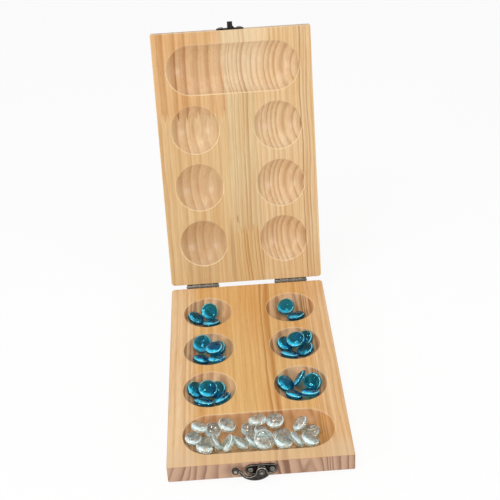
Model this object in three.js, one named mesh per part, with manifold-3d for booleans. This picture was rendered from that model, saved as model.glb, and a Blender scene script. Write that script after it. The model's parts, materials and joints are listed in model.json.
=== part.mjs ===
import * as THREE from 'three';
import { mergeVertices } from 'three/addons/utils/BufferGeometryUtils.js';
import Module from 'manifold-3d';

// Folding mancala board: two pine halves on two hinges, a horn clasp, and glass stones in the pits.
// Millimetres. X is across the board, -Y is the clasp end, +Z is up.
// The origin is the centre of the base half's underside.

// Board halves
const boardWidth = 132;
const boardLength = 217.3;
const boardThickness = 14.5;
const hingeCornerRadius = 3;
const claspCornerRadius = 0.7;
const boardEdgeRadius = 2.2;

// Pits and store
const pitRadius = 20.7;
const pitDepth = 10;
const sideMargin = 10.45;
const hingeEndMargin = 16.4;
const claspEndMargin = 10.4;

// Hinges
const axisOffset = 2.15;
const openDegrees = 105.8;
const hingeInset = 27.3;
const hingeWidth = 27.8;
const leafHeight = 11;
const leafThickness = 0.7;
const barrelRadius = 1.85;
const pinRadius = 0.9;
const pinDomeHeight = 0.4;
const knuckleCount = 5;
const knuckleGap = 0.3;
const leafScrewSpacing = 17;

// Clasp on the base half
const claspDrop = 6.2;
const claspLength = 22.8;
const claspHeight = 9;
const claspThickness = 1.3;
const claspRimWidth = 0.9;
const claspPocketDepth = 0.45;
const claspBossRadius = 3.1;
const claspBossHeight = 0.6;
const claspScrewSpacing = 15.2;
const rivetRadius = 1.4;
const rivetHeadRadius = 2.5;
const rivetHeadHeight = 0.9;
const rivetTailRadius = 2.1;
const rivetTailThickness = 0.6;

// Horn hook: its outline is drawn at rest, round the rivet
const hookThickness = 1.8;
const hubRadius = 3.9;
const hornOuterRadius = 12.2;
const hornOuterAcross = 4.2;
const hornOuterUp = 4.3;
const hornInnerRadius = 4.75;
const hornInnerAcross = 8.4;
const hornInnerUp = 0.6;
const knobRadius = 2.7;
const knobAcross = 18.2;
const knobUp = 1.9;
const hubStartDegrees = 20;
const hubEndDegrees = 189;
const hornInnerStartDegrees = -18;
const hornInnerEndDegrees = -198;
const hornOuterStartDegrees = 189;
const hornOuterEndDegrees = 320.4;

// Strike on the lid half
const postReach = 10.4;
const strikeLength = 22.4;
const strikeHeight = 7.5;
const strikeThickness = 1;
const strikeScrewSpacing = 15.2;
const postRadius = 2.2;
const postHeight = 5.2;
const gussetLength = 1.6;
const gussetHeight = 1.9;
const gussetThickness = 2.4;

// Wood screws
const screwHeadRadius = 2.1;
const screwHeadHeight = 0.7;
const screwShankRadius = 1.1;
const screwLength = 7.5;
const screwTipLength = 2;
const screwSlotWidth = 0.55;
const screwSlotLength = 2.3;
const screwSlotDepth = 0.35;

// Glass stones
const stoneRadius = 7.5;
const stoneDomeHeight = 3.3;
const stoneBaseHeight = 2.2;
const joinRadius = 1.1;

// Fits
const seatGap = 0.25;
const turnClearance = 0.25;
const pilotClearance = 0.2;
const stoneGap = 0.36;
const overrun = 5;
const dropHeight = 25;
const dropStep = 0.4;
const dropFinish = 0.02;
const slideStep = 0.3;
const rockDegrees = 6;

// Facet counts
const pitFacets = 24;
const pitRings = 5;
const stoneFacets = 10;
const stoneRings = 6;
const turnedFacets = 10;
const neckFacets = 4;
const cornerFacets = 4;
const barrelFacets = 12;
const knobFacets = 14;
const curveFacets = 10;
const feelFacets = 14;
const feelRings = 9;

// Each row is one stone, in the order of dropping: its place across and along the pit as shares of
// the pit's radius, its lean as a share of a quarter turn from lying flat, the heading of that lean
// as a share of a full turn from the clasp end round to the right, and its size and roundness as
// shares of a plain stone's.
const rearLeftStoneShares = [
  [-0.56, -0.12, 0.38, 0.14, 1, 0.98],
  [0.17, -0.46, 0.12, 0.5, 1.02, 1],
  [0.03, 0.16, 0.6, 0, 0.99, 1.02],
];
const rearRightStoneShares = [
  [0.27, -0.34, 0.18, 0.75, 1.03, 1],
  [-0.1, 0.15, 0.5, 0, 1.02, 1],
];
const middleLeftStoneShares = [
  [-0.34, -0.38, 0.16, 0.4, 0.95, 1],
  [0.28, -0.57, 0.22, 0.55, 0.97, 0.96],
  [0.37, 0.36, 0.42, 0.92, 0.97, 1],
  [-0.23, 0.52, 0.55, 0, 1.05, 1],
  [0.26, -0.14, 0.3, 0.02, 0.94, 0.96],
];
const middleRightStoneShares = [
  [-0.42, 0.34, 0.42, 0.12, 0.98, 0.96],
  [-0.3, -0.48, 0.14, 0.45, 0.98, 1],
  [0.43, -0.22, 0.3, 0.88, 1, 0.96],
  [0.46, 0.46, 0.5, 0.85, 0.92, 1],
  [0.06, 0.2, 0.46, 0.96, 1.02, 0.96],
];
const frontLeftStoneShares = [
  [-0.57, 0.2, 0.46, 0.08, 0.97, 1],
  [-0.27, -0.54, 0.12, 0.5, 1.03, 0.98],
  [0.46, -0.42, 0.26, 0.7, 0.97, 1],
  [0.3, 0.26, 0.42, 0.95, 0.95, 0.96],
  [-0.06, 0.07, 0.34, 0.98, 1, 0.98],
];
const frontRightStoneShares = [
  [-0.6, 0.27, 0.56, 0.16, 1.01, 1],
  [-0.31, -0.45, 0.2, 0.3, 0.92, 0.96],
  [0.28, -0.5, 0.24, 0.54, 0.96, 1],
  [0.46, 0.1, 0.5, 0.92, 0.98, 0.98],
  [0.01, 0.34, 0.75, 0.69, 0.98, 0.98],
];

// The same for the store, where the place across is a share of the store's half length. Two
// neighbouring rows make a pair of touching stones that is one piece, and the last row is single.
const clearStoneShares = [
  [-0.71, -0.1, 0.1, 0.2, 0.84, 0.96],
  [-0.84, -0.1, 0.34, 0.16, 0.83, 0.98],
  [-0.73, -0.57, 0.16, 0.5, 0.86, 0.95],
  [-0.57, -0.36, 0.7, 0.26, 0.88, 1],
  [-0.6, 0.46, 0.26, 0, 0.86, 0.96],
  [-0.76, 0.36, 0.32, 0.3, 0.84, 0.97],
  [-0.12, 0.44, 0.46, 0, 0.84, 0.95],
  [-0.43, 0.54, 0.06, 0.02, 0.92, 1],
  [-0.24, -0.36, 0.5, 0.25, 0.9, 0.96],
  [-0.4, -0.46, 0.6, 0.75, 0.9, 1],
  [-0.1, -0.34, 0.3, 0.25, 0.9, 0.97],
  [0.05, -0.42, 0.6, 0, 1, 1],
  [0.02, 0.16, 0.16, 0, 0.84, 0.95],
  [-0.01, 0.5, 0.1, 0, 0.9, 0.98],
  [0.3, 0.08, 0.2, 0.02, 0.9, 0.96],
  [0.22, 0.6, 0.14, 0.94, 0.88, 1],
  [0.28, -0.56, 0.16, 0.5, 0.92, 0.95],
  [0.475, -0.5, 0.5, 0.25, 0.92, 1],
  [0.7, 0.15, 0.2, 0, 0.88, 0.96],
  [0.63, -0.56, 0.12, 0.5, 0.92, 1],
  [0.55, 0.42, 0.7, 0.7, 0.9, 0.97],
];

const { degToRad } = THREE.MathUtils;

const wasm = await Module();
wasm.setup();

const pineColour = 0xe0bb84;
const bronzeColour = 0x3d3a35;
const blueColour = 0x1593ad;
const clearColour = 0xcfe0d8;

function material(color, roughness, metalness) {
  return new THREE.MeshStandardMaterial({ color, roughness, metalness });
}

const pine = () => material(pineColour, 0.55, 0);
const bronze = () => material(bronzeColour, 0.4, 1);
const blueGlass = () => material(blueColour, 0.05, 0);
const clearGlass = () => material(clearColour, 0.05, 0);

// Solids from geometries, and back
function solid(geometry) {
  const bare = geometry.clone();
  bare.deleteAttribute('normal');
  bare.deleteAttribute('uv');
  const merged = mergeVertices(bare);
  const vertProperties = new Float32Array(merged.attributes.position.array);
  const triVerts = new Uint32Array(merged.index.array);
  return new wasm.Manifold(new wasm.Mesh({ numProp: 3, vertProperties, triVerts }));
}

function geometryOf(body) {
  const mesh = body.getMesh();
  const places = new Float32Array(mesh.vertProperties);
  const geometry = new THREE.BufferGeometry();
  geometry.setAttribute('position', new THREE.BufferAttribute(places, 3));
  geometry.setIndex(new THREE.BufferAttribute(new Uint32Array(mesh.triVerts), 1));
  geometry.computeVertexNormals();
  return geometry;
}

function piece(name, body, surface) {
  const mesh = new THREE.Mesh(geometryOf(body), surface);
  mesh.name = name;
  return mesh;
}

// A box between two corners
function boxBetween(low, high) {
  const size = new THREE.Vector3().subVectors(high, low);
  const middle = new THREE.Vector3().addVectors(low, high).multiplyScalar(1 / 2);
  return new THREE.BoxGeometry(size.x, size.y, size.z).translate(middle.x, middle.y, middle.z);
}

// Turned shapes are drawn as radius and height, and stand along +Y before they are placed
function turned(points, facets) {
  const outline = points.map(([radius, height]) => new THREE.Vector2(radius, height));
  return new THREE.LatheGeometry(outline, facets);
}

// A rod along X
function rodAlongX(radius, length, facets) {
  const rod = turned([[0, -length / 2], [radius, -length / 2], [radius, length / 2], [0, length / 2]], facets);
  return rod.rotateZ(Math.PI / 2);
}

// Bowl profile from its lowest point to its rim, with the board's inner face at height zero
const bowlRadius = (pitRadius ** 2 + pitDepth ** 2) / (2 * pitDepth);
const bowlCentreHeight = bowlRadius - pitDepth;
const bowlAngle = Math.asin(pitRadius / bowlRadius);
const pitColumnOffset = boardWidth / 2 - sideMargin - pitRadius;

function bowlProfile() {
  const profile = [];
  for (let ring = 0; ring <= pitRings; ring += 1) {
    const angle = (bowlAngle * ring) / pitRings;
    profile.push([bowlRadius * Math.sin(angle), bowlCentreHeight - bowlRadius * Math.cos(angle)]);
  }
  profile[0][0] = 0;
  return profile;
}

function bowlCutter() {
  const profile = bowlProfile();
  profile.push([pitRadius, overrun]);
  profile.push([0, overrun]);
  return turned(profile, pitFacets).rotateX(Math.PI / 2);
}

// Turns a section drawn in X and Y so that it stands in Y and Z and is drawn out along X
const acrossBoard = new THREE.Matrix4().makeBasis(
  new THREE.Vector3(0, 1, 0),
  new THREE.Vector3(0, 0, 1),
  new THREE.Vector3(1, 0, 0),
);

// The store is the same bowl drawn out across the board
function storeCutter() {
  const profile = bowlProfile();
  const outline = new THREE.Shape();
  outline.moveTo(pitRadius, overrun);
  outline.lineTo(-pitRadius, overrun);
  for (const [radius, height] of [...profile].reverse()) {
    outline.lineTo(-radius, height);
  }
  for (const [radius, height] of profile.slice(1)) {
    outline.lineTo(radius, height);
  }
  const trough = new THREE.ExtrudeGeometry(outline, { depth: 2 * pitColumnOffset, bevelEnabled: false });
  trough.applyMatrix4(acrossBoard).translate(-pitColumnOffset, 0, 0);
  const leftEnd = solid(bowlCutter().translate(-pitColumnOffset, 0, 0));
  const rightEnd = solid(bowlCutter().translate(pitColumnOffset, 0, 0));
  return solid(trough).add(leftEnd).add(rightEnd);
}

// Pieces of a half are drawn round the hinge axis, as on the base: the inner face is at height
// zero and faces up, and the board runs towards -Y. The lid's are turned over.
const hingeEnd = -axisOffset;
const claspEnd = hingeEnd - boardLength;
const firstRow = hingeEnd - hingeEndMargin - pitRadius;
const storeRow = claspEnd + claspEndMargin + pitRadius;
const rowPitch = (firstRow - storeRow) / 3;
const pitRows = [0, 1, 2].map((row) => firstRow - row * rowPitch);
const hingeOffset = boardWidth / 2 - hingeInset;

function boardBlank() {
  const farAcross = boardWidth / 2 - hingeCornerRadius;
  const far = hingeEnd - hingeCornerRadius;
  const nearAcross = boardWidth / 2 - claspCornerRadius;
  const near = claspEnd + claspCornerRadius;
  const outline = new THREE.Shape();
  outline.absarc(farAcross, far, hingeCornerRadius, 0, Math.PI / 2, false);
  outline.absarc(-farAcross, far, hingeCornerRadius, Math.PI / 2, Math.PI, false);
  outline.absarc(-nearAcross, near, claspCornerRadius, Math.PI, (3 * Math.PI) / 2, false);
  outline.absarc(nearAcross, near, claspCornerRadius, (3 * Math.PI) / 2, 2 * Math.PI, false);
  const plan = new THREE.ExtrudeGeometry(outline, {
    depth: boardThickness,
    bevelEnabled: false,
    curveSegments: cornerFacets,
  });
  plan.translate(0, 0, -boardThickness);
  const lengthwise = roundedPrism(boardWidth, boardLength);
  lengthwise.rotateX(Math.PI / 2).translate(0, (hingeEnd + claspEnd) / 2, 0);
  const crosswise = roundedPrism(boardLength, boardWidth);
  crosswise.applyMatrix4(acrossBoard).translate(0, (hingeEnd + claspEnd) / 2, 0);
  return solid(plan).intersect(solid(lengthwise)).intersect(solid(crosswise));
}

// The board's section for a width, with its two edges rounded on the underside, drawn out both ways
function roundedPrism(width, length) {
  const across = width / 2 - boardEdgeRadius;
  const low = boardEdgeRadius - boardThickness;
  const section = new THREE.Shape();
  section.moveTo(width / 2, 0);
  section.lineTo(-width / 2, 0);
  section.absarc(-across, low, boardEdgeRadius, Math.PI, (3 * Math.PI) / 2, false);
  section.absarc(across, low, boardEdgeRadius, (3 * Math.PI) / 2, 2 * Math.PI, false);
  const prism = new THREE.ExtrudeGeometry(section, {
    depth: length + 2 * overrun,
    bevelEnabled: false,
    curveSegments: cornerFacets,
  });
  return prism.translate(0, 0, -length / 2 - overrun);
}

function hollowedBoard() {
  let board = boardBlank().subtract(storeCutter().translate([0, storeRow, 0]));
  for (const row of pitRows) {
    for (const side of [-1, 1]) {
      board = board.subtract(solid(bowlCutter().translate(side * pitColumnOffset, row, 0)));
    }
  }
  return board;
}

// A round hole along Y from an end face into the board
function endHole(radius, depth, x, face, inward, z) {
  const rod = turned([[0, -overrun], [radius, -overrun], [radius, depth], [0, depth]], turnedFacets);
  if (inward < 0) {
    rod.rotateX(Math.PI);
  }
  return solid(rod.translate(x, face, z));
}

// Wood screw: its head's underside is at height zero and its tip points to -Y
function screwSolid() {
  const body = turned([
    [0, -screwLength],
    [screwShankRadius, screwTipLength - screwLength],
    [screwShankRadius, 0],
    [screwHeadRadius, 0],
    [screwHeadRadius, screwHeadHeight / 3],
    [(screwHeadRadius * 3) / 4, screwHeadHeight],
    [0, screwHeadHeight],
  ], turnedFacets);
  const slotLow = screwHeadHeight - screwSlotDepth;
  const slotA = boxBetween(
    new THREE.Vector3(-screwSlotLength / 2, slotLow, -screwSlotWidth / 2),
    new THREE.Vector3(screwSlotLength / 2, screwHeadHeight + overrun, screwSlotWidth / 2),
  );
  const slotB = slotA.clone().rotateY(Math.PI / 2);
  return solid(body).subtract(solid(slotA)).subtract(solid(slotB));
}

// Hinge leaf with its knuckles, on the end face at the hinge end of a half
const knuckleLength = (hingeWidth - (knuckleCount - 1) * knuckleGap) / knuckleCount;
const leafBack = hingeEnd + seatGap;
const leafFront = leafBack + leafThickness;
const leafTop = -barrelRadius - knuckleGap;
const leafScrewHeight = (leafTop - leafHeight) / 2;

function leafSolid(firstKnuckle) {
  const plate = boxBetween(
    new THREE.Vector3(-hingeWidth / 2, leafBack, -leafHeight),
    new THREE.Vector3(hingeWidth / 2, leafFront, leafTop),
  );
  let leaf = solid(plate);
  for (let knuckle = firstKnuckle; knuckle < knuckleCount; knuckle += 2) {
    const start = -hingeWidth / 2 + knuckle * (knuckleLength + knuckleGap);
    const strap = boxBetween(
      new THREE.Vector3(start, leafBack, leafTop - leafThickness),
      new THREE.Vector3(start + knuckleLength, leafFront, 0),
    );
    const barrel = rodAlongX(barrelRadius, knuckleLength, barrelFacets);
    barrel.translate(start + knuckleLength / 2, 0, 0);
    leaf = leaf.add(solid(strap)).add(solid(barrel));
  }
  const bore = rodAlongX(pinRadius + turnClearance, hingeWidth + overrun, turnedFacets);
  leaf = leaf.subtract(solid(bore));
  for (const side of [-1, 1]) {
    const hole = endHole(
      screwShankRadius + pilotClearance, overrun, (side * leafScrewSpacing) / 2, leafBack, 1, leafScrewHeight,
    );
    leaf = leaf.subtract(hole);
  }
  return leaf;
}

function pinSolid() {
  const half = hingeWidth / 2 + seatGap;
  const pin = turned([
    [0, -half - pinDomeHeight],
    [(pinRadius * 2) / 3, -half - pinDomeHeight],
    [pinRadius, -half],
    [pinRadius, half],
    [(pinRadius * 2) / 3, half + pinDomeHeight],
    [0, half + pinDomeHeight],
  ], turnedFacets);
  return solid(pin.rotateZ(Math.PI / 2));
}

// Clasp pieces are drawn in X and Z round the rivet and stand out from the clasp end towards -Y
const outward = new THREE.Matrix4().makeBasis(
  new THREE.Vector3(1, 0, 0),
  new THREE.Vector3(0, 0, 1),
  new THREE.Vector3(0, -1, 0),
);

function flatPiece(outline, from, to) {
  const geometry = new THREE.ExtrudeGeometry(outline, {
    depth: to - from,
    bevelEnabled: false,
    curveSegments: curveFacets,
  });
  return solid(geometry.translate(0, 0, from).applyMatrix4(outward));
}

function stadium(length, height) {
  const outline = new THREE.Shape();
  const centre = (length - height) / 2;
  outline.absarc(centre, 0, height / 2, -Math.PI / 2, Math.PI / 2, false);
  outline.absarc(-centre, 0, height / 2, Math.PI / 2, (3 * Math.PI) / 2, false);
  return outline;
}

function turnedOutward(points, facets) {
  return solid(turned(points, facets).rotateX(Math.PI));
}

function roundCut(radius, x) {
  const cut = turned([[0, -overrun], [radius, -overrun], [radius, overrun], [0, overrun]], turnedFacets);
  return solid(cut.translate(x, 0, 0));
}

const claspFace = seatGap + claspThickness;
const claspFloor = claspFace - claspPocketDepth;
const bossTop = claspFace + claspBossHeight;
const hookBack = bossTop + turnClearance;
const hookFront = hookBack + hookThickness;

function claspPlateSolid() {
  const rim = 2 * claspRimWidth;
  let plate = flatPiece(stadium(claspLength, claspHeight), seatGap, claspFace);
  const pocketOutline = stadium(claspLength - rim, claspHeight - rim);
  const pocket = flatPiece(pocketOutline, claspFloor, claspFace + overrun);
  plate = plate.subtract(pocket);
  const boss = turned([
    [0, claspFloor - claspPocketDepth],
    [claspBossRadius, claspFloor - claspPocketDepth],
    [claspBossRadius, bossTop],
    [0, bossTop],
  ], turnedFacets);
  plate = plate.add(solid(boss.rotateX(Math.PI)));
  plate = plate.subtract(roundCut(rivetRadius + pilotClearance, 0));
  for (const side of [-1, 1]) {
    plate = plate.subtract(roundCut(screwShankRadius + pilotClearance, (side * claspScrewSpacing) / 2));
  }
  return plate;
}

function rivetSolid() {
  const headLow = hookFront + turnClearance;
  return turnedOutward([
    [0, -rivetTailThickness],
    [rivetTailRadius, -rivetTailThickness],
    [rivetTailRadius, 0],
    [rivetRadius, 0],
    [rivetRadius, headLow],
    [rivetHeadRadius, headLow],
    [(rivetHeadRadius * 4) / 5, headLow + (rivetHeadHeight * 2) / 3],
    [(rivetHeadRadius * 2) / 5, headLow + rivetHeadHeight],
    [0, headLow + rivetHeadHeight],
  ], turnedFacets);
}

function hookSolid() {
  const hubStart = degToRad(hubStartDegrees);
  const hubEnd = degToRad(hubEndDegrees);
  const innerStart = degToRad(hornInnerStartDegrees);
  const innerEnd = degToRad(hornInnerEndDegrees);
  const outerStart = degToRad(hornOuterStartDegrees);
  const outerEnd = degToRad(hornOuterEndDegrees);
  const outline = new THREE.Shape();
  outline.absarc(0, 0, hubRadius, hubStart, hubEnd, false);
  outline.absarc(-hornInnerAcross, hornInnerUp, hornInnerRadius, innerStart, innerEnd, true);
  outline.absarc(-hornOuterAcross, hornOuterUp, hornOuterRadius, outerStart, outerEnd, false);
  let hook = flatPiece(outline, hookBack, hookFront);
  const knob = new THREE.SphereGeometry(knobRadius, knobFacets, knobFacets / 2);
  knob.translate(-knobAcross, -(hookBack + hookFront) / 2, knobUp);
  hook = hook.add(solid(knob));
  return hook.subtract(roundCut(rivetRadius + turnClearance, 0));
}

function strikeSolid() {
  const face = seatGap + strikeThickness;
  let strike = flatPiece(stadium(strikeLength, strikeHeight), seatGap, face);
  const post = turnedOutward([
    [0, face - strikeThickness / 2],
    [postRadius, face - strikeThickness / 2],
    [postRadius, face + postHeight],
    [0, face + postHeight],
  ], turnedFacets);
  strike = strike.add(post);
  const web = new THREE.Shape();
  web.moveTo(0, face - strikeThickness / 2);
  web.lineTo(postRadius + gussetLength, face - strikeThickness / 2);
  web.lineTo(postRadius + gussetLength, face);
  web.lineTo(postRadius, face + gussetHeight);
  web.lineTo(0, face + gussetHeight);
  const gusset = new THREE.ExtrudeGeometry(web, { depth: gussetThickness, bevelEnabled: false });
  gusset.translate(0, 0, -gussetThickness / 2).rotateX(Math.PI);
  strike = strike.add(solid(gusset));
  for (const side of [-1, 1]) {
    strike = strike.subtract(roundCut(screwShankRadius + pilotClearance, (side * strikeScrewSpacing) / 2));
  }
  return strike;
}

// Holes in the boards
const pilotRadius = screwShankRadius + pilotClearance;
const leafPilotDepth = screwLength - leafThickness - seatGap + pilotClearance;
const claspPilotDepth = screwLength - (claspFloor + seatGap) + pilotClearance;
const strikePilotDepth = screwLength - (strikeThickness + 2 * seatGap) + pilotClearance;
const strikeRise = postReach - claspDrop;

function withHingeHoles(board) {
  let drilled = board;
  for (const hinge of [-1, 1]) {
    for (const side of [-1, 1]) {
      const x = hinge * hingeOffset + (side * leafScrewSpacing) / 2;
      drilled = drilled.subtract(endHole(pilotRadius, leafPilotDepth, x, hingeEnd, -1, leafScrewHeight));
    }
  }
  return drilled;
}

function baseBoardSolid() {
  let board = withHingeHoles(hollowedBoard());
  for (const side of [-1, 1]) {
    const x = (side * claspScrewSpacing) / 2;
    board = board.subtract(endHole(pilotRadius, claspPilotDepth, x, claspEnd, 1, -claspDrop));
  }
  const pocketRadius = rivetTailRadius + pilotClearance;
  const pocketDepth = rivetTailThickness + pilotClearance;
  return board.subtract(endHole(pocketRadius, pocketDepth, 0, claspEnd, 1, -claspDrop));
}

function lidBoardSolid() {
  let board = withHingeHoles(hollowedBoard());
  for (const side of [-1, 1]) {
    const x = (side * strikeScrewSpacing) / 2;
    board = board.subtract(endHole(pilotRadius, strikePilotDepth, x, claspEnd, 1, -strikeRise));
  }
  return board;
}

// A stone is a body of revolution with a high dome above and a flatter one below
function stoneProfile(rings, grow) {
  const profile = [];
  for (let ring = 0; ring <= rings; ring += 1) {
    const angle = Math.PI * (ring / rings - 1 / 2);
    const height = (angle < 0 ? stoneBaseHeight : stoneDomeHeight) + grow;
    profile.push([(stoneRadius + grow) * Math.cos(angle), height * Math.sin(angle)]);
  }
  profile[0][0] = 0;
  profile[rings][0] = 0;
  return profile;
}

// Points on a stone's skin, moved out by half of the gap, with which it feels its neighbours
const feelProfile = stoneProfile(feelRings, stoneGap / 2);
const feelPoints = [];
for (const [radius, height] of feelProfile) {
  const copies = radius === 0 ? 1 : feelFacets;
  for (let copy = 0; copy < copies; copy += 1) {
    const angle = (2 * Math.PI * copy) / copies;
    feelPoints.push(new THREE.Vector3(radius * Math.cos(angle), radius * Math.sin(angle), height));
  }
}

function stonePose(shares, halfLength) {
  const [acrossShare, alongShare, leanShare, headingShare, sizeShare, roundShare] = shares;
  const heading = 2 * Math.PI * headingShare;
  const leanAxis = new THREE.Vector3(Math.cos(heading), Math.sin(heading), 0);
  const turn = new THREE.Quaternion().setFromAxisAngle(leanAxis, (Math.PI / 2) * leanShare);
  turn.multiply(new THREE.Quaternion().setFromAxisAngle(new THREE.Vector3(0, 0, 1), heading));
  const place = new THREE.Vector3(acrossShare * halfLength, alongShare * pitRadius, dropHeight);
  const size = new THREE.Vector3(sizeShare, sizeShare * roundShare, 1);
  return { place, turn, size, spine: halfLength - pitRadius };
}

const probe = new THREE.Vector3();
const back = new THREE.Quaternion();

function skinPoint(stone, point) {
  return probe.copy(point).multiply(stone.size).applyQuaternion(stone.turn).add(stone.place);
}

function insideStone(stone, point) {
  back.copy(stone.turn).invert();
  point.sub(stone.place).applyQuaternion(back).divide(stone.size);
  const radius = stoneRadius + stoneGap / 2;
  const height = (point.z < 0 ? stoneBaseHeight : stoneDomeHeight) + stoneGap / 2;
  return (point.x ** 2 + point.y ** 2) / radius ** 2 + (point.z / height) ** 2 < 1;
}

function reachOf(stone) {
  return (stoneRadius + stoneGap / 2) * Math.max(stone.size.x, stone.size.y);
}

function blocked(stone, placed) {
  const room = bowlRadius - stoneGap;
  for (const point of feelPoints) {
    const skin = skinPoint(stone, point);
    if (skin.z < stoneGap) {
      const across = Math.min(Math.max(skin.x, -stone.spine), stone.spine);
      if (Math.hypot(skin.x - across, skin.y, skin.z - bowlCentreHeight) > room) {
        return true;
      }
    }
  }
  for (const other of placed) {
    if (stone.place.distanceTo(other.place) < reachOf(stone) + reachOf(other)) {
      for (const point of feelPoints) {
        if (insideStone(other, skinPoint(stone, point)) || insideStone(stone, skinPoint(other, point))) {
          return true;
        }
      }
    }
  }
  return false;
}

// Lowers a stone as far as it goes
function lower(stone, placed) {
  let step = dropStep;
  while (step > dropFinish) {
    stone.place.z -= step;
    if (blocked(stone, placed)) {
      stone.place.z += step;
      step /= 2;
    }
  }
}

const alongX = new THREE.Vector3(1, 0, 0);
const alongY = new THREE.Vector3(0, 1, 0);

// Rocks and slides a stone for as long as that lets it sink
function settle(stone, placed) {
  for (const effort of [1, 1 / 2, 1 / 4]) {
    for (const axis of [alongX, alongY]) {
      for (const way of [-1, 1]) {
        const angle = way * effort * degToRad(rockDegrees);
        const rock = new THREE.Quaternion().setFromAxisAngle(axis, angle);
        tryMove(stone, placed, rock, axis, 0);
        tryMove(stone, placed, rock.identity(), axis, way * effort * slideStep);
      }
    }
  }
}

function tryMove(stone, placed, rock, axis, slide) {
  const turn = stone.turn.clone();
  const place = stone.place.clone();
  stone.turn.premultiply(rock);
  stone.place.addScaledVector(axis, slide);
  stone.place.z -= dropFinish;
  if (blocked(stone, placed)) {
    stone.turn.copy(turn);
    stone.place.copy(place);
  } else {
    lower(stone, placed);
  }
}

function settledStones(table, halfLength) {
  const placed = [];
  for (const shares of table) {
    const stone = stonePose(shares, halfLength);
    lower(stone, placed);
    settle(stone, placed);
    placed.push(stone);
  }
  for (const stone of placed) {
    const others = placed.filter((other) => other !== stone);
    lower(stone, others);
    settle(stone, others);
  }
  return placed;
}

function stoneSolid(stone) {
  const geometry = turned(stoneProfile(stoneRings, 0), stoneFacets).rotateX(Math.PI / 2);
  const pose = new THREE.Matrix4().compose(stone.place, stone.turn, stone.size);
  return solid(geometry.applyMatrix4(pose));
}

// Two touching stones as one piece, with a short neck inside them from centre to centre
function stonePairSolid(first, second) {
  const length = first.place.distanceTo(second.place);
  const neck = turned([[0, 0], [joinRadius, 0], [joinRadius, length], [0, length]], neckFacets);
  const direction = new THREE.Vector3().subVectors(second.place, first.place).normalize();
  const turn = new THREE.Quaternion().setFromUnitVectors(new THREE.Vector3(0, 1, 0), direction);
  const pose = new THREE.Matrix4().compose(first.place, turn, new THREE.Vector3(1, 1, 1));
  return stoneSolid(first).add(stoneSolid(second)).add(solid(neck.applyMatrix4(pose)));
}

const twoDigits = (count) => String(count).padStart(2, '0');

// Base half
const base = new THREE.Group();
base.position.set(0, boardLength / 2 + axisOffset, boardThickness);
base.add(piece('base_board', baseBoardSolid(), pine()));

// Lid half, closed before its group is turned open
const lid = new THREE.Group();
lid.position.copy(base.position);
lid.rotation.x = -degToRad(openDegrees);
const lidBoard = piece('lid_board', lidBoardSolid(), pine());
lidBoard.rotation.y = Math.PI;
lid.add(lidBoard);

// Hinges
const hinges = [['left', -1], ['right', 1]];
for (const [sideName, side] of hinges) {
  const baseLeaf = piece(`${sideName}_hinge_base_leaf`, leafSolid(0), bronze());
  baseLeaf.position.x = side * hingeOffset;
  const lidLeaf = piece(`${sideName}_hinge_lid_leaf`, leafSolid(1), bronze());
  lidLeaf.position.x = side * hingeOffset;
  lidLeaf.rotation.y = Math.PI;
  const pin = piece(`${sideName}_hinge_pin`, pinSolid(), bronze());
  pin.position.x = side * hingeOffset;
  base.add(baseLeaf, pin);
  lid.add(lidLeaf);
  for (const [placeName, place] of [['outer', side], ['inner', -side]]) {
    const x = side * hingeOffset + (place * leafScrewSpacing) / 2;
    const baseScrew = piece(`${sideName}_hinge_base_screw_${placeName}`, screwSolid(), bronze());
    baseScrew.position.set(x, leafFront + seatGap, leafScrewHeight);
    base.add(baseScrew);
    const lidScrew = piece(`${sideName}_hinge_lid_screw_${placeName}`, screwSolid(), bronze());
    lidScrew.position.set(x, leafFront + seatGap, -leafScrewHeight);
    lid.add(lidScrew);
  }
}

// Clasp on the base
const clasp = new THREE.Group();
clasp.position.set(0, claspEnd, -claspDrop);
clasp.add(piece('clasp_plate', claspPlateSolid(), bronze()));
clasp.add(piece('clasp_rivet', rivetSolid(), bronze()));
clasp.add(piece('clasp_hook', hookSolid(), bronze()));
for (const [sideName, side] of [['left', -1], ['right', 1]]) {
  const screw = piece(`clasp_screw_${sideName}`, screwSolid(), bronze());
  screw.rotation.x = Math.PI;
  screw.position.set((side * claspScrewSpacing) / 2, -(claspFloor + seatGap), 0);
  clasp.add(screw);
}
base.add(clasp);

// Strike on the lid
const strike = new THREE.Group();
strike.position.set(0, claspEnd, strikeRise);
strike.add(piece('strike_plate', strikeSolid(), bronze()));
for (const [sideName, side] of [['left', -1], ['right', 1]]) {
  const screw = piece(`strike_screw_${sideName}`, screwSolid(), bronze());
  screw.rotation.x = Math.PI;
  screw.position.set((side * strikeScrewSpacing) / 2, -(strikeThickness + 2 * seatGap), 0);
  strike.add(screw);
}
lid.add(strike);

// Stones in the pits
const pits = [
  ['rear_left', -1, pitRows[0], rearLeftStoneShares],
  ['rear_right', 1, pitRows[0], rearRightStoneShares],
  ['middle_left', -1, pitRows[1], middleLeftStoneShares],
  ['middle_right', 1, pitRows[1], middleRightStoneShares],
  ['front_left', -1, pitRows[2], frontLeftStoneShares],
  ['front_right', 1, pitRows[2], frontRightStoneShares],
];
for (const [pitName, side, row, table] of pits) {
  const pit = new THREE.Group();
  pit.position.set(side * pitColumnOffset, row, 0);
  settledStones(table, pitRadius).forEach((stone, index) => {
    pit.add(piece(`blue_stone_${pitName}_${index + 1}`, stoneSolid(stone), blueGlass()));
  });
  base.add(pit);
}

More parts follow.
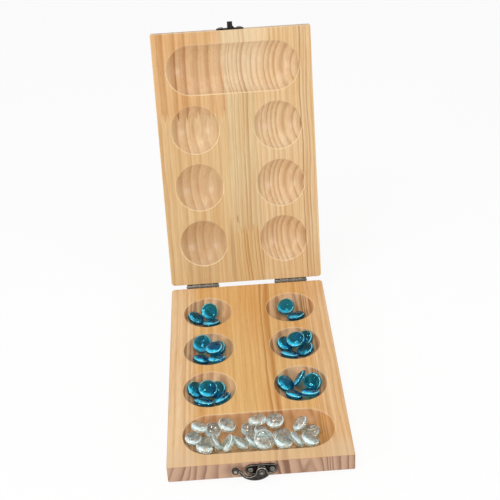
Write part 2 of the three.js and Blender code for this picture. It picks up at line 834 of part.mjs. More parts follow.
// Stones in the store
const store = new THREE.Group();
store.position.set(0, storeRow, 0);
const clearStones = settledStones(clearStoneShares, pitColumnOffset + pitRadius);
for (let index = 0; index < clearStones.length; index += 2) {
  const [first, second] = clearStones.slice(index, index + 2);
  const isPair = second !== undefined;
  const body = isPair ? stonePairSolid(first, second) : stoneSolid(first);
  const number = twoDigits(index / 2 + 1);
  store.add(piece(isPair ? `clear_stone_pair_${number}` : `clear_stone_${number}`, body, clearGlass()));
}
base.add(store);

const group = new THREE.Group();
group.add(base, lid);

export default group;
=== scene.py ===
import json
import math
from collections import namedtuple
from itertools import product

import bmesh
import bpy
import numpy as np
from mathutils import Matrix, Vector, geometry


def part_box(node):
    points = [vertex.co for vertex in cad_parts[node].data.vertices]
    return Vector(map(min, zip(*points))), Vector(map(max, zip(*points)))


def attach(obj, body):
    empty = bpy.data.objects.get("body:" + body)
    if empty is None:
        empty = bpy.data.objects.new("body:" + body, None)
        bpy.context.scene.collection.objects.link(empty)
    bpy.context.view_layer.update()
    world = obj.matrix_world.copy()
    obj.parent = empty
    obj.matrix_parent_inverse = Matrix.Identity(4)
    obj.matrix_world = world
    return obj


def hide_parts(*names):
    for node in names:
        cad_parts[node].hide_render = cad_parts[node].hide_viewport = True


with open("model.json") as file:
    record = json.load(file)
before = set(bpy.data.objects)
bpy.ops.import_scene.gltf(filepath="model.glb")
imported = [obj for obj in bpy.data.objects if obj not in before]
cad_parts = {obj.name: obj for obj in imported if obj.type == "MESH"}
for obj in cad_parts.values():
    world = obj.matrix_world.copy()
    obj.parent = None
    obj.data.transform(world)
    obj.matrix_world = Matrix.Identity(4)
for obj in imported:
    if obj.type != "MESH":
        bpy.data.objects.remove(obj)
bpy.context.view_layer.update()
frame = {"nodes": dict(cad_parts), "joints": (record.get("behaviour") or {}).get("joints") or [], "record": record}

# Driving dimensions, in metres
MM = 0.001
BOARD_LOW, BOARD_HIGH = (Vector(corner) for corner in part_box("base_board"))
BOARD_WIDTH = BOARD_HIGH.x - BOARD_LOW.x
BOARD_LENGTH = BOARD_HIGH.y - BOARD_LOW.y
BOARD_THICKNESS = BOARD_HIGH.z - BOARD_LOW.z
JOINTS = {joint["name"]: joint for joint in frame["joints"]}
HINGE_AXIS = Vector(JOINTS["lid_hinge"]["pos_m"])
AXIS_OFFSET = HINGE_AXIS.y - BOARD_HIGH.y
OPEN_ANGLE = math.radians(105.8)
PIT_RADIUS = 20.7 * MM
PIT_DEPTH = 10 * MM
SIDE_MARGIN = 10.45 * MM
HINGE_END_MARGIN = 16.4 * MM
CLASP_END_MARGIN = 10.4 * MM
HINGE_CORNER_RADIUS = 3 * MM
CLASP_CORNER_RADIUS = 0.7 * MM
UNDERSIDE_EDGE_RADIUS = 1.6 * MM
FACE_EDGE_RADIUS = 0.45 * MM
RIM_RADIUS = 0.55 * MM

# Places that follow from them, round the hinge axis with the inner face at height zero
HINGE_END = -AXIS_OFFSET
CLASP_END = HINGE_END - BOARD_LENGTH
PIT_COLUMN = BOARD_WIDTH / 2 - SIDE_MARGIN - PIT_RADIUS
FIRST_ROW = HINGE_END - HINGE_END_MARGIN - PIT_RADIUS
STORE_ROW = CLASP_END + CLASP_END_MARGIN + PIT_RADIUS
PIT_ROWS = [FIRST_ROW + (STORE_ROW - FIRST_ROW) * row / 3 for row in range(3)]
BOWL_RADIUS = (PIT_RADIUS ** 2 + PIT_DEPTH ** 2) / (2 * PIT_DEPTH)
BOWL_CENTRE = BOWL_RADIUS - PIT_DEPTH

BASE_MATRIX = Matrix.Translation(HINGE_AXIS)
LID_MATRIX = BASE_MATRIX @ Matrix.Rotation(-OPEN_ANGLE, 4, "X")

BODIES = frame["record"]["behaviour"]["bodies"]
BODY_OF = {member: body for body, members in BODIES.items() for member in members}


def new_object(name, data, matrix=Matrix.Identity(4)):
    obj = bpy.data.objects.new(name, data)
    bpy.context.scene.collection.objects.link(obj)
    obj.matrix_world = matrix
    return obj


def mesh_from(name, bm, flat=()):
    """Makes the mesh, smooth but for the flat faces."""
    bmesh.ops.recalc_face_normals(bm, faces=bm.faces)
    for face in bm.faces:
        face.smooth = True
    for face in flat:
        face.smooth = False
    mesh = bpy.data.meshes.new(name)
    bm.to_mesh(mesh)
    bm.free()
    return mesh


def skin_rows(bm, rows):
    """Joins rings of vertices, of which the first and last may be a single one."""
    for lower, upper in zip(rows, rows[1:]):
        count = max(len(lower), len(upper))
        for copy in range(count):
            after = (copy + 1) % count
            if len(lower) == 1:
                bm.faces.new((lower[0], upper[after], upper[copy]))
            elif len(upper) == 1:
                bm.faces.new((lower[copy], lower[after], upper[0]))
            else:
                bm.faces.new((lower[copy], lower[after], upper[after], upper[copy]))


# Boards
def outline_loop(inset, height, segments=8):
    """The board's plan outline, drawn in from the edge by inset, at one height."""
    points = []
    corners = [
        (1, HINGE_END, -1, HINGE_CORNER_RADIUS, 0),
        (-1, HINGE_END, -1, HINGE_CORNER_RADIUS, 90),
        (-1, CLASP_END, 1, CLASP_CORNER_RADIUS, 180),
        (1, CLASP_END, 1, CLASP_CORNER_RADIUS, 270),
    ]
    for side, end, inward, corner_radius, start in corners:
        radius = max(corner_radius - inset, corner_radius / 6)
        x = side * (BOARD_WIDTH / 2 - inset - radius)
        y = end + inward * (inset + radius)
        for step in range(segments + 1):
            angle = math.radians(start + 90 * step / segments)
            points.append((x + radius * math.cos(angle), y + radius * math.sin(angle), height))
    return points


def board_levels(face_steps=4, underside_steps=8):
    """Inset and height of each loop down the board's edge."""
    levels = []
    for step in range(face_steps + 1):
        angle = math.pi / 2 * step / face_steps
        levels.append((FACE_EDGE_RADIUS * (1 - math.sin(angle)), -FACE_EDGE_RADIUS * (1 - math.cos(angle))))
    for step in range(underside_steps + 1):
        angle = math.pi / 2 * step / underside_steps
        inset = UNDERSIDE_EDGE_RADIUS * (1 - math.cos(angle))
        height = -BOARD_THICKNESS + UNDERSIDE_EDGE_RADIUS * (1 - math.sin(angle))
        levels.append((inset, height))
    return levels


def bowl_profile(arc_steps=6, sphere_steps=26):
    """Radius, height and rim share of a bowl, from the flat face down its eased rim to its lowest point."""
    touch = math.sqrt((BOWL_RADIUS + RIM_RADIUS) ** 2 - (BOWL_CENTRE + RIM_RADIUS) ** 2)
    end = math.atan2(BOWL_CENTRE + RIM_RADIUS, -touch)
    profile = []
    for step in range(arc_steps + 1):
        angle = math.pi / 2 + (end - math.pi / 2) * step / arc_steps
        radius = touch + RIM_RADIUS * math.cos(angle)
        profile.append((radius, RIM_RADIUS * (math.sin(angle) - 1), 1.0 if step > 0 else 0.0))
    rim_radius = profile[-1][0]
    start = math.asin(rim_radius / BOWL_RADIUS)
    for step in range(1, sphere_steps):
        angle = start * (1 - step / sphere_steps)
        profile.append((BOWL_RADIUS * math.sin(angle), BOWL_CENTRE - BOWL_RADIUS * math.cos(angle), 0.0))
    return profile


def bowl_ring(half_spine, segments=96, spine_steps=30):
    """Centre across and heading of each point round a bowl or, with a spine, round the store."""
    if half_spine == 0:
        return [(0.0, 2 * math.pi * step / segments) for step in range(segments)]
    ring = []
    for side in (1, -1):
        for step in range(segments // 2 + 1):
            ring.append((side * half_spine, -side * math.pi / 2 + math.pi * step / (segments // 2)))
        for step in range(1, spine_steps):
            ring.append((side * half_spine * (1 - 2 * step / spine_steps), side * math.pi / 2))
    return ring


def add_bowl(bm, rim_layer, cut_layer, centre_x, centre_y, half_spine):
    """Adds a bowl's surface and returns its outermost loop of vertices."""
    ring = bowl_ring(half_spine)
    loops = []
    for radius, height, rim in bowl_profile():
        loop = []
        for spine, heading in ring:
            x = centre_x + spine + radius * math.cos(heading)
            y = centre_y + radius * math.sin(heading)
            vertex = bm.verts.new((x, y, height))
            vertex[rim_layer] = rim
            vertex[cut_layer] = 0.0 if height > -RIM_RADIUS else 1.0 - rim
            loop.append(vertex)
        loops.append(loop)
    skin_rows(bm, loops)
    bottoms = {}
    for spine, _ in ring:
        key = round(spine, 7)
        if key not in bottoms:
            bottoms[key] = bm.verts.new((centre_x + spine, centre_y, -PIT_DEPTH))
            bottoms[key][cut_layer] = 1.0
    last = loops[-1]
    for index, vertex in enumerate(last):
        after = (index + 1) % len(last)
        here = bottoms[round(ring[index][0], 7)]
        there = bottoms[round(ring[after][0], 7)]
        corners = (vertex, last[after], here) if here is there else (vertex, last[after], there, here)
        bm.faces.new(corners)
    return loops[0]


def in_a_hollow(x, y):
    if math.hypot(abs(x) - min(abs(x), PIT_COLUMN), y - STORE_ROW) < PIT_RADIUS:
        return True
    return any(math.hypot(abs(x) - PIT_COLUMN, y - row) < PIT_RADIUS for row in PIT_ROWS)


def board_mesh(name, turned_over):
    bm = bmesh.new()
    rim_layer = bm.verts.layers.float.new("eased")
    cut_layer = bm.verts.layers.float.new("cut")
    loops = []
    for index, (inset, height) in enumerate(board_levels()):
        loop = [bm.verts.new(point) for point in outline_loop(inset, height)]
        for vertex in loop:
            vertex[rim_layer] = -1.0 if 0 < index < 4 else 0.0
        loops.append(loop)
    skin_rows(bm, loops)
    flat_faces = [bm.faces.new(loops[-1])]
    borders = [loops[0], add_bowl(bm, rim_layer, cut_layer, 0, STORE_ROW, PIT_COLUMN)]
    for row, side in product(PIT_ROWS, (-1, 1)):
        borders.append(add_bowl(bm, rim_layer, cut_layer, side * PIT_COLUMN, row, 0))
    flat, edges = [], []
    for border in borders:
        start = len(flat)
        flat.extend(border)
        edges.extend((start + index, start + (index + 1) % len(border)) for index in range(len(border)))
    points = [vertex.co.xy for vertex in flat]
    result = geometry.delaunay_2d_cdt(points, edges, [], 1, 1e-7)
    places, triangles, origins = result[0], result[2], result[3]
    for triangle in triangles:
        middle = sum((places[corner] for corner in triangle), Vector((0, 0))) / len(triangle)
        if not in_a_hollow(middle.x, middle.y):
            flat_faces.append(bm.faces.new([flat[origins[corner][0]] for corner in triangle]))
    if turned_over:
        for vertex in bm.verts:
            vertex.co.z *= -1
    return mesh_from(name, bm, flat_faces)


# Node materials
def srgb(red, green, blue):
    """A colour given from 0 to 255, as the linear colour that the shader takes."""
    linear = []
    for value in (red, green, blue):
        share = value / 255
        linear.append(share / 12.92 if share <= 0.04045 else ((share + 0.055) / 1.055) ** 2.4)
    return (*linear, 1.0)


class Nodes:
    """Short calls for building the nodes of a material or the world."""

    def __init__(self, owner, output="ShaderNodeOutputMaterial"):
        self.owner = owner
        owner.use_nodes = True
        self.tree = owner.node_tree
        self.tree.nodes.clear()
        self.output = self.add(output)

    def add(self, kind, **settings):
        node = self.tree.nodes.new(kind)
        for key, value in settings.items():
            setattr(node, key, value)
        return node

    def put(self, socket, value):
        if isinstance(value, bpy.types.NodeSocket):
            self.tree.links.new(value, socket)
        else:
            socket.default_value = value

    def made(self, kind, inputs, output=0, **settings):
        """Adds a node, fills its inputs and returns one of its outputs."""
        node = self.add(kind, **settings)
        for socket, value in inputs.items():
            self.put(node.inputs[socket], value)
        return node.outputs[output]

    def done(self, surface):
        self.put(self.output.inputs["Surface"], surface)
        return self.owner

    def math(self, operation, *values, clamp=False):
        return self.made("ShaderNodeMath", dict(enumerate(values)), operation=operation, use_clamp=clamp)

    def times(self, first, second, clamp=False):
        return self.math("MULTIPLY", first, second, clamp=clamp)

    def plus(self, first, second):
        return self.math("ADD", first, second)

    def minus(self, first, second):
        return self.math("SUBTRACT", first, second)

    def larger(self, first, second):
        return self.math("MAXIMUM", first, second)

    def scaled(self, vector, stretch):
        """Stretches a vector, by one number or by one for each axis."""
        stretch = stretch if isinstance(stretch, tuple) else (stretch,) * 3
        return self.made("ShaderNodeVectorMath", {0: vector, 1: stretch}, operation="MULTIPLY")

    def parts(self, vector):
        node = self.add("ShaderNodeSeparateXYZ")
        self.put(node.inputs[0], vector)
        return node.outputs

    def surface(self):
        """The place on the object in mm, and the direction that its surface faces."""
        node = self.add("ShaderNodeTexCoord")
        return self.scaled(node.outputs["Object"], 1 / MM), node.outputs["Normal"]

    def layer(self, name):
        """A number that the mesh holds for each vertex."""
        return self.made("ShaderNodeAttribute", {}, "Fac", attribute_name=name)

    def mix(self, share, first, second):
        """Mixes two numbers."""
        return self.made("ShaderNodeMix", {0: share, 2: first, 3: second}, data_type="FLOAT")

    def blend(self, share, first, second, mode="MIX"):
        """Mixes two colours."""
        inputs = {0: share, 6: first, 7: second}
        return self.made("ShaderNodeMix", inputs, 2, data_type="RGBA", blend_type=mode)

    def stained(self, share, shade, tone):
        """Darkens a colour by another one, as a stain does."""
        return self.blend(share, shade, self.blend(1.0, shade, tone, "MULTIPLY"))

    def shaders(self, share, first, second):
        """Mixes two shaders."""
        return self.made("ShaderNodeMixShader", {0: share, 1: first, 2: second})

    def ramp(self, value, stops):
        """Turns a number into another one, by stops of place and value."""
        node = self.add("ShaderNodeValToRGB")
        elements = node.color_ramp.elements
        while len(elements) < len(stops):
            elements.new(0.5)
        for element, (place, shade) in zip(elements, stops):
            element.position = place
            element.color = (shade, shade, shade, 1)
        self.put(node.inputs[0], value)
        return node.outputs[0]

    def between(self, value, low, high, to_low=0.0, to_high=1.0, smooth=True):
        """Turns a stretch of numbers into another stretch, level beyond its ends."""
        inputs = {0: value, 1: low, 2: high, 3: to_low, 4: to_high}
        kind = "SMOOTHSTEP" if smooth else "LINEAR"
        return self.made("ShaderNodeMapRange", inputs, interpolation_type=kind)

    def noise(self, place, stretch, detail=2.0, roughness=0.5, distortion=0.0):
        """Noise with about this many grains to the mm, along each axis."""
        return self.made("ShaderNodeTexNoise", {
            "Vector": self.scaled(place, stretch),
            "Scale": 1.0,
            "Detail": detail,
            "Roughness": roughness,
            "Distortion": distortion,
        }, "Fac", noise_dimensions="3D")

    def line_noise(self, value, detail):
        inputs = {"W": value, "Scale": 1.0, "Detail": detail}
        return self.made("ShaderNodeTexNoise", inputs, "Fac", noise_dimensions="1D")

    def chance(self, value):
        """One random number for each whole number."""
        return self.made("ShaderNodeTexWhiteNoise", {"W": value}, "Value", noise_dimensions="1D")

    def bump(self, height, strength, distance):
        return self.made("ShaderNodeBump", {"Strength": strength, "Distance": distance, "Height": height})

    def principled(self, inputs):
        return self.made("ShaderNodeBsdfPrincipled", inputs)


# A glued-up length of pine: its ring spacing in mm, the slope with which its rings cross the
# thickness, how strong its late wood is, where its rings start, and its early and late wood colours
Stave = namedtuple("Stave", "spacing slope strength start early late")

# Hollowed-out wood: how much stronger its rings are, how far it takes on colours of its own, greyer as
# cut wood and darker as painted shade, these two colours, and how much it looks like end grain
Hollows = namedtuple("Hollows", "ring_strength share early late end_grain_share")

# Paler wood on the rims of the hollows: partly sanded wood, partly a painted highlight
RIM_SANDED_AND_HIGHLIGHT_TONE = srgb(244, 216, 172)
CANAL_TONE = srgb(120, 78, 44)
# The tone of painted shade laid in parts of the lid's hollows
HOLLOW_PAINTED_SHADE = srgb(176, 128, 84)

# How dark the wood is from one growth ring to the next
CRISP_RINGS = [(0.0, 0.2), (0.08, 0.0), (0.4, 0.1), (0.64, 0.45), (0.82, 0.9), (0.9, 1.0), (0.97, 0.45)]
SOFT_RINGS = [(0.0, 0.35), (0.12, 0.1), (0.4, 0.2), (0.62, 0.65), (0.8, 0.95), (0.93, 0.7)]

# How far the rings wander, in mm, how unevenly they lie, and how strongly they show
RING_WANDER = 11.0
RING_RIPPLE = 1.4
RING_UNEVENNESS = 1.3
END_RING_STRENGTH = 1.7
FALSE_RING_STRENGTH = 0.12

# The teeth of a glued joint, in mm
FINGER_LENGTH = 9
FINGER_PITCH = 3.7


def pine(name, first, others, ring_shape, end_pull, patches, hollows, end_tones, corner_tone, lit_side):
    """Pine with growth rings through its thickness. others are (mask of the place, stave) pairs,
    each laid over those before it, patches are (mask, tone) pairs, and hollows says how the wood
    looks where it was hollowed out."""
    n = Nodes(bpy.data.materials.new(name))
    place, normal = n.surface()
    across, along, height = n.parts(place)
    depth = n.math("ABSOLUTE", height)
    from_hinge = n.minus(HINGE_END / MM, along)

    numbers, colours = first[:4], first[4:]
    for mask_maker, stave in others:
        mask = mask_maker(n, across, from_hinge)
        numbers = [n.mix(mask, old, new) for old, new in zip(numbers, stave[:4])]
        colours = [n.blend(mask, old, new) for old, new in zip(colours, stave[4:])]
    spacing, slope, strength, start = numbers
    early_tone, late_tone = colours
    if end_pull is not None:
        slope = end_pull(n, across, slope)

    # Rings wander slowly along the board, and no two are equally wide or dark
    wander = n.noise(place, (0.016, 0.0075, 0.016), detail=1.0)
    wander = n.times(n.minus(wander, 0.5), RING_WANDER)
    ripple = n.noise(place, (0.1, 0.022, 0.1))
    ripple = n.times(n.minus(ripple, 0.5), RING_RIPPLE)
    crossing = n.times(depth, slope)
    ring_place = n.plus(n.plus(across, crossing), n.plus(wander, ripple))
    ring_count = n.plus(n.math("DIVIDE", ring_place, spacing), start)
    uneven = n.line_noise(n.times(ring_count, 0.55), detail=1.0)
    ring_count = n.plus(ring_count, n.times(uneven, RING_UNEVENNESS))
    phase = n.math("FRACT", ring_count)
    ring_chance = n.chance(n.math("FLOOR", ring_count))
    late = n.ramp(phase, ring_shape)
    ring_strength = n.times(strength, n.between(ring_chance, 0.0, 1.0, 0.45, 1.2, smooth=False))
    late = n.times(late, ring_strength, clamp=True)
    end_strength = n.times(ring_strength, END_RING_STRENGTH)
    end_late = n.times(n.ramp(phase, CRISP_RINGS), end_strength, clamp=True)
    false_ring = n.line_noise(n.times(ring_count, 5.3), detail=2.0)
    late = n.plus(late, n.between(false_ring, 0.5, 0.75, 0.0, FALSE_RING_STRENGTH))
    cut = n.layer("cut")
    late = n.times(late, n.mix(cut, 1.0, hollows.ring_strength), clamp=True)

    fibre = n.noise(place, (3.2, 0.07, 3.2), detail=3.0, roughness=0.65)
    fine_fibre = n.noise(place, (11.0, 0.28, 11.0), roughness=0.6)
    streak = n.noise(place, (0.55, 0.009, 0.55))
    cloud = n.noise(place, (0.028, 0.013, 0.028))
    canal = n.noise(place, (1.9, 0.12, 1.9), detail=1.0)
    canal = n.times(n.between(canal, 0.66, 0.74), n.between(late, 0.1, 0.5, 0.12, 0.42))

    shade = n.blend(late, early_tone, late_tone)
    shade = n.stained(n.between(streak, 0.35, 0.7, 0.0, 0.6), shade, srgb(236, 214, 186))
    shade = n.stained(n.between(cloud, 0.3, 0.75, 0.0, 0.5), shade, srgb(247, 228, 204))
    shade = n.stained(n.between(fibre, 0.3, 0.7, 0.0, 0.45), shade, srgb(229, 205, 172))
    shade = n.blend(canal, shade, CANAL_TONE)

    # Where a cutter crossed the fibres the wood is greyer, and darker as painted shade; end grain is pinker and
    # duller still
    hollow_tone_and_shade = n.blend(late, hollows.early, hollows.late)
    shade = n.blend(n.times(cut, hollows.share), shade, hollow_tone_and_shade)
    for mask_maker, tone in patches:
        shade = n.blend(mask_maker(n, across, from_hinge), shade, tone)
    lengthwise = n.parts(normal)[1]
    end_grain = n.between(n.math("ABSOLUTE", lengthwise), 0.4, 0.9, 0.0, 0.9)
    end_grain = n.times(end_grain, n.mix(cut, 1.0, hollows.end_grain_share))
    pores = n.noise(place, 9.0, roughness=0.7)
    end_shade = n.blend(end_late, *end_tones)
    end_shade = n.stained(n.between(pores, 0.4, 0.75, 0.0, 0.5), end_shade, srgb(214, 196, 184))
    shade = n.blend(end_grain, shade, end_shade)

    # The rims of the hollows are sanded through to paler wood and also carry a painted highlight,
    # strongest where they face the light. The rounded edges of the board's face take a tone of their own,
    # darker on the base and paler on the lid
    eased = n.layer("eased")
    rim_sanded_and_highlight = n.between(cloud, 0.25, 0.7, 0.8, 0.5)
    facing = n.times(lengthwise, lit_side)
    rim_sanded_and_highlight = n.times(rim_sanded_and_highlight, n.between(facing, -0.3, 0.15, 0.45, 1.0))
    shade = n.blend(n.times(eased, rim_sanded_and_highlight, clamp=True), shade, RIM_SANDED_AND_HIGHLIGHT_TONE)
    shade = n.blend(n.times(eased, -0.6, clamp=True), shade, corner_tone)

    roughness = n.plus(n.between(fibre, 0.2, 0.8, 0.27, 0.36), n.times(end_grain, 0.08))
    roughness = n.plus(roughness, n.times(cut, 0.03))
    ridge = n.plus(n.times(fibre, 0.5), n.times(fine_fibre, 0.3))
    ridge = n.plus(ridge, n.times(late, 0.4))
    ridge = n.minus(ridge, n.times(canal, 0.4))
    return n.done(n.principled({
        "Base Color": shade,
        "Roughness": roughness,
        "Specular IOR Level": 0.35,
        "Normal": n.bump(ridge, 0.3, 0.05 * MM),
    }))


def place_between(low, high, soft=0.25):
    """Mask of a stretch across the board, in mm."""
    def make(n, across, from_hinge):
        rise = n.between(across, low - soft, low + soft)
        fall = n.between(across, high - soft, high + soft, 1.0, 0.0)
        return n.times(rise, fall)
    return make


def finger_joint(low, high, at, hinge_side=False):
    """Mask of a stave's far part, or its part on the hinge side, up to a zigzag of glued fingers."""
    def make(n, across, from_hinge):
        inside = place_between(low, high)(n, across, from_hinge)
        zigzag = n.math("PINGPONG", across, FINGER_PITCH / 2)
        zigzag = n.times(zigzag, FINGER_LENGTH / (FINGER_PITCH / 2))
        edge = n.plus(zigzag, at)
        far = n.between(n.minus(from_hinge, edge), -0.5, 0.5)
        if hinge_side:
            far = n.minus(1.0, far)
        return n.times(inside, far)
    return make


def spot(middle, at, width, length, strength):
    """Mask of a soft oval, by its middle and size in mm."""
    def make(n, across, from_hinge):
        x = n.math("DIVIDE", n.minus(across, middle), width / 2)
        y = n.math("DIVIDE", n.minus(from_hinge, at), length / 2)
        distance = n.plus(n.times(x, x), n.times(y, y))
        return n.between(distance, 0.2, 1.0, strength, 0.0)
    return make


def past(at, soft, strength):
    """Mask of the board's part beyond a distance from the hinge, in mm."""
    return lambda n, across, from_hinge: n.between(from_hinge, at - soft, at + soft, 0.0, strength)


def hollowed(mask_maker):
    """The same mask, only where the wood was hollowed out."""
    def make(n, across, from_hinge):
        cut = n.layer("cut")
        return n.times(cut, mask_maker(n, across, from_hinge))
    return make


# Places on the boards in mm, across from their middle line or along from the hinge
WIDE = BOARD_WIDTH / MM
LID_GLUE_LINE = -8
LID_SECOND_GLUE_LINE = 17
LID_LINES_LOW = 53.5
LID_LINES_HIGH = 62
LID_FINGER_JOINT = 143.5
LID_MIDDLE_JOINT = 43

lid_pine = pine(
    "pine_lid",
    Stave(5.0, 0.45, 0.45, 0.3, srgb(226, 202, 162), srgb(190, 148, 100)),
    [
        (place_between(-WIDE, LID_GLUE_LINE),
         Stave(8.2, 0.5, 0.46, 0.1, srgb(219, 192, 147), srgb(186, 144, 94))),
        (finger_joint(-WIDE, LID_GLUE_LINE, LID_FINGER_JOINT),
         Stave(9.0, 0.15, 0.8, 0.6, srgb(219, 183, 136), srgb(182, 130, 74))),
        (place_between(LID_GLUE_LINE, LID_SECOND_GLUE_LINE),
         Stave(3.8, 0.3, 0.6, 0.4, srgb(219, 199, 160), srgb(178, 137, 88))),
        (finger_joint(LID_GLUE_LINE, LID_SECOND_GLUE_LINE, LID_MIDDLE_JOINT, hinge_side=True),
         Stave(2.7, 0.3, 0.85, 0.9, srgb(220, 196, 150), srgb(182, 140, 86))),
        (place_between(LID_LINES_LOW, LID_LINES_HIGH),
         Stave(3.0, 0.4, 1.1, 0.9, srgb(224, 202, 164), srgb(178, 132, 86))),
    ],
    CRISP_RINGS,
    None,
    [
        (spot(-4, 57, 1.2, 9, 0.8), srgb(150, 96, 44)),
        (spot(-10, 22, 4.5, 90, 0.3), CANAL_TONE),
        # A broad faint darkening on the left of the lid near the hinge, in the canals' tone
        (spot(-38, 24, 40, 80, 0.12), CANAL_TONE),
        # Painted shade in the lid's left-hand hollows: the pits near the hinge and the store's left end
        (hollowed(spot(-35, 50, 60, 130, 0.22)), HOLLOW_PAINTED_SHADE),
        (hollowed(spot(-40, 186, 60, 60, 0.14)), HOLLOW_PAINTED_SHADE),
        (spot(8, 207, 54, 90, 0.22), srgb(242, 222, 192)),
    ],
    Hollows(1.55, 0.3, srgb(226, 197, 163), srgb(162, 118, 80), 0.25),
    (srgb(214, 184, 154), srgb(168, 132, 104)),
    srgb(238, 208, 162),
    -1,
)


def base_slope(n, across, slope):
    """Tilts the base's rings by another amount at each place across it, as its end grain shows."""
    share = n.between(across, -WIDE / 2, WIDE / 2, smooth=False)
    pull = n.ramp(share, [(0.0, 0.86), (0.27, 0.5), (0.62, 0.45), (0.8, 0.2), (0.93, 0.5)])
    return n.plus(slope, n.between(pull, 0.0, 1.0, -0.5, 0.5, smooth=False))


base_pine = pine(
    "pine_base",
    Stave(8.0, 0.0, 0.6, 0.2, srgb(236, 197, 136), srgb(204, 152, 86)),
    [
        (place_between(-WIDE, -46, 5),
         Stave(6.4, 0.0, 0.5, 0.7, srgb(241, 212, 170), srgb(212, 166, 114))),
        (place_between(8, 32, 4),
         Stave(6.6, 0.0, 0.95, 0.5, srgb(236, 200, 142), srgb(198, 144, 78))),
        (place_between(47, WIDE, 5),
         Stave(5.8, 0.0, 0.6, 0.1, srgb(241, 209, 164), srgb(208, 160, 106))),
    ],
    SOFT_RINGS,
    base_slope,
    [
        (past(200, 10, 0.42), srgb(216, 190, 156)),
        (hollowed(spot(0, 170, 130, 34, 0.6)), srgb(184, 116, 44)),
        (hollowed(spot(50, 188, 44, 50, 0.5)), srgb(206, 144, 66)),
    ],
    Hollows(1.9, 0.6, srgb(216, 174, 136), srgb(138, 84, 44), 0.4),
    (srgb(190, 155, 130), srgb(118, 78, 62)),
    srgb(176, 128, 92),
    1,
)


def finished_board(name, node, turned_over, matrix, material):
    obj = new_object(name, board_mesh(name, turned_over), matrix)
    obj.data.materials.append(material)
    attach(obj, BODY_OF[node])
    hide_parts(node)


finished_board("base_board_pine", "base_board", False, BASE_MATRIX, base_pine)
finished_board("lid_board_pine", "lid_board", True, LID_MATRIX, lid_pine)


# Glass stones
STONE_RADIUS = 7.5 * MM
STONE_DOME_HEIGHT = 3.3 * MM
STONE_BASE_HEIGHT = 2.2 * MM
STONE_SHARE = 0.99
NECK_ERROR = 0.08
# The side, in world directions, on which each stone's glow is painted, where a real stone would focus the lamps'
# light
PAINTED_GLOW_SIDE = np.array([-0.57, -0.78, -0.26])
GLASS_IOR = 1.5

# Heights above the floor, in mm, between which the painted shade on the glass gives way and its painted glow grows
PAINTED_SHADE_HEIGHTS = (6.0, 11.0)
PAINTED_GLOW_HEIGHTS = (8.0, 12.5)


def node_points(node):
    """The node's distinct corners, in metres."""
    mesh = frame["nodes"][node].data
    places = np.empty(len(mesh.vertices) * 3)
    mesh.vertices.foreach_get("co", places)
    return np.unique(np.round(places.reshape(-1, 3), 7), axis=0)


def turn_matrix(turn):
    angle = np.linalg.norm(turn)
    if angle < 1e-12:
        return np.eye(3)
    x, y, z = turn / angle
    cross = np.array([[0, -z, y], [z, 0, -x], [-y, x, 0]])
    return np.eye(3) + math.sin(angle) * cross + (1 - math.cos(angle)) * cross @ cross


def shell_distance(points, centre, turn, size):
    """How far outside a stone's surface each point is, as a share of the stone."""
    local = (points - centre) @ turn
    height = np.where(local[:, 2] < 0, STONE_BASE_HEIGHT, STONE_DOME_HEIGHT)
    local[:, :2] /= STONE_RADIUS * size
    local[:, 2] /= height
    return np.linalg.norm(local, axis=1) - 1


def fitted_stone(points, centre, turn, size, rounds=30):
    """Fits a stone's centre, turn and sizes to points on its surface by least squares."""
    steps = np.array([1e-6] * 3 + [1e-4] * 3 + [1e-4] * 2)

    def moved(change):
        return centre + change[:3], turn @ turn_matrix(change[3:6]), size + change[6:]

    damping = 1e-3
    error = shell_distance(points, centre, turn, size)
    for _ in range(rounds):
        slopes = np.empty((len(points), 8))
        for index in range(8):
            change = np.zeros(8)
            change[index] = steps[index]
            slopes[:, index] = (shell_distance(points, *moved(change)) - error) / steps[index]
        scale = np.linalg.norm(slopes, axis=0) + 1e-9
        normal = (slopes / scale).T @ (slopes / scale) + damping * np.eye(8)
        change = -np.linalg.solve(normal, (slopes / scale).T @ error) / scale
        new = moved(change)
        new_error = shell_distance(points, *new)
        if new_error @ new_error < error @ error:
            centre, turn, size = new
            error = new_error
            damping = max(damping / 4, 1e-9)
        else:
            damping *= 6
    return centre, turn, size


def starting_guess(points):
    centre = points.mean(axis=0)
    _, axes = np.linalg.eigh(np.cov((points - centre).T))
    turn = axes[:, ::-1].copy()
    if np.linalg.det(turn) < 0:
        turn[:, 1] *= -1
    upside_down = turn @ np.diag([1.0, -1.0, -1.0])
    return centre, (turn, upside_down)


def best_stone(points):
    """The stone whose surface lies nearest these points, and the error of each."""
    centre, turns = starting_guess(points)
    best = None
    for turn in turns:
        stone = fitted_stone(points, centre, turn, np.ones(2))
        error = np.abs(shell_distance(points, *stone))
        if best is None or np.median(error) < np.median(best[1]):
            best = (stone, error)
    return best


def split_pair(points):
    """Two groups of a pair's points, by turns of nearest middle."""
    middle = points.mean(axis=0)
    _, axes = np.linalg.eigh(np.cov((points - middle).T))
    along = (points - middle) @ axes[:, 2]
    centres = [points[along < 0].mean(axis=0), points[along >= 0].mean(axis=0)]
    for _ in range(20):
        gaps = np.stack([np.linalg.norm(points - centre, axis=1) for centre in centres])
        owner = gaps.argmin(axis=0)
        centres = [points[owner == index].mean(axis=0) for index in (0, 1)]
    return owner


def stones_of(node):
    """Centre, turn and size of each stone of a node, found from the node's own corners."""
    points = node_points(node)
    if "pair" not in node:
        return [best_stone(points)[0]]
    owner = split_pair(points)
    for _ in range(4):
        stones = [best_stone(points[owner == index])[0] for index in (0, 1)]
        errors = np.stack([np.abs(shell_distance(points, *stone)) for stone in stones])
        owner = errors.argmin(axis=0)
    refined = []
    for index in (0, 1):
        close = (owner == index) & (errors[index] < NECK_ERROR)
        refined.append(fitted_stone(points[close], *stones[index]))
    return refined


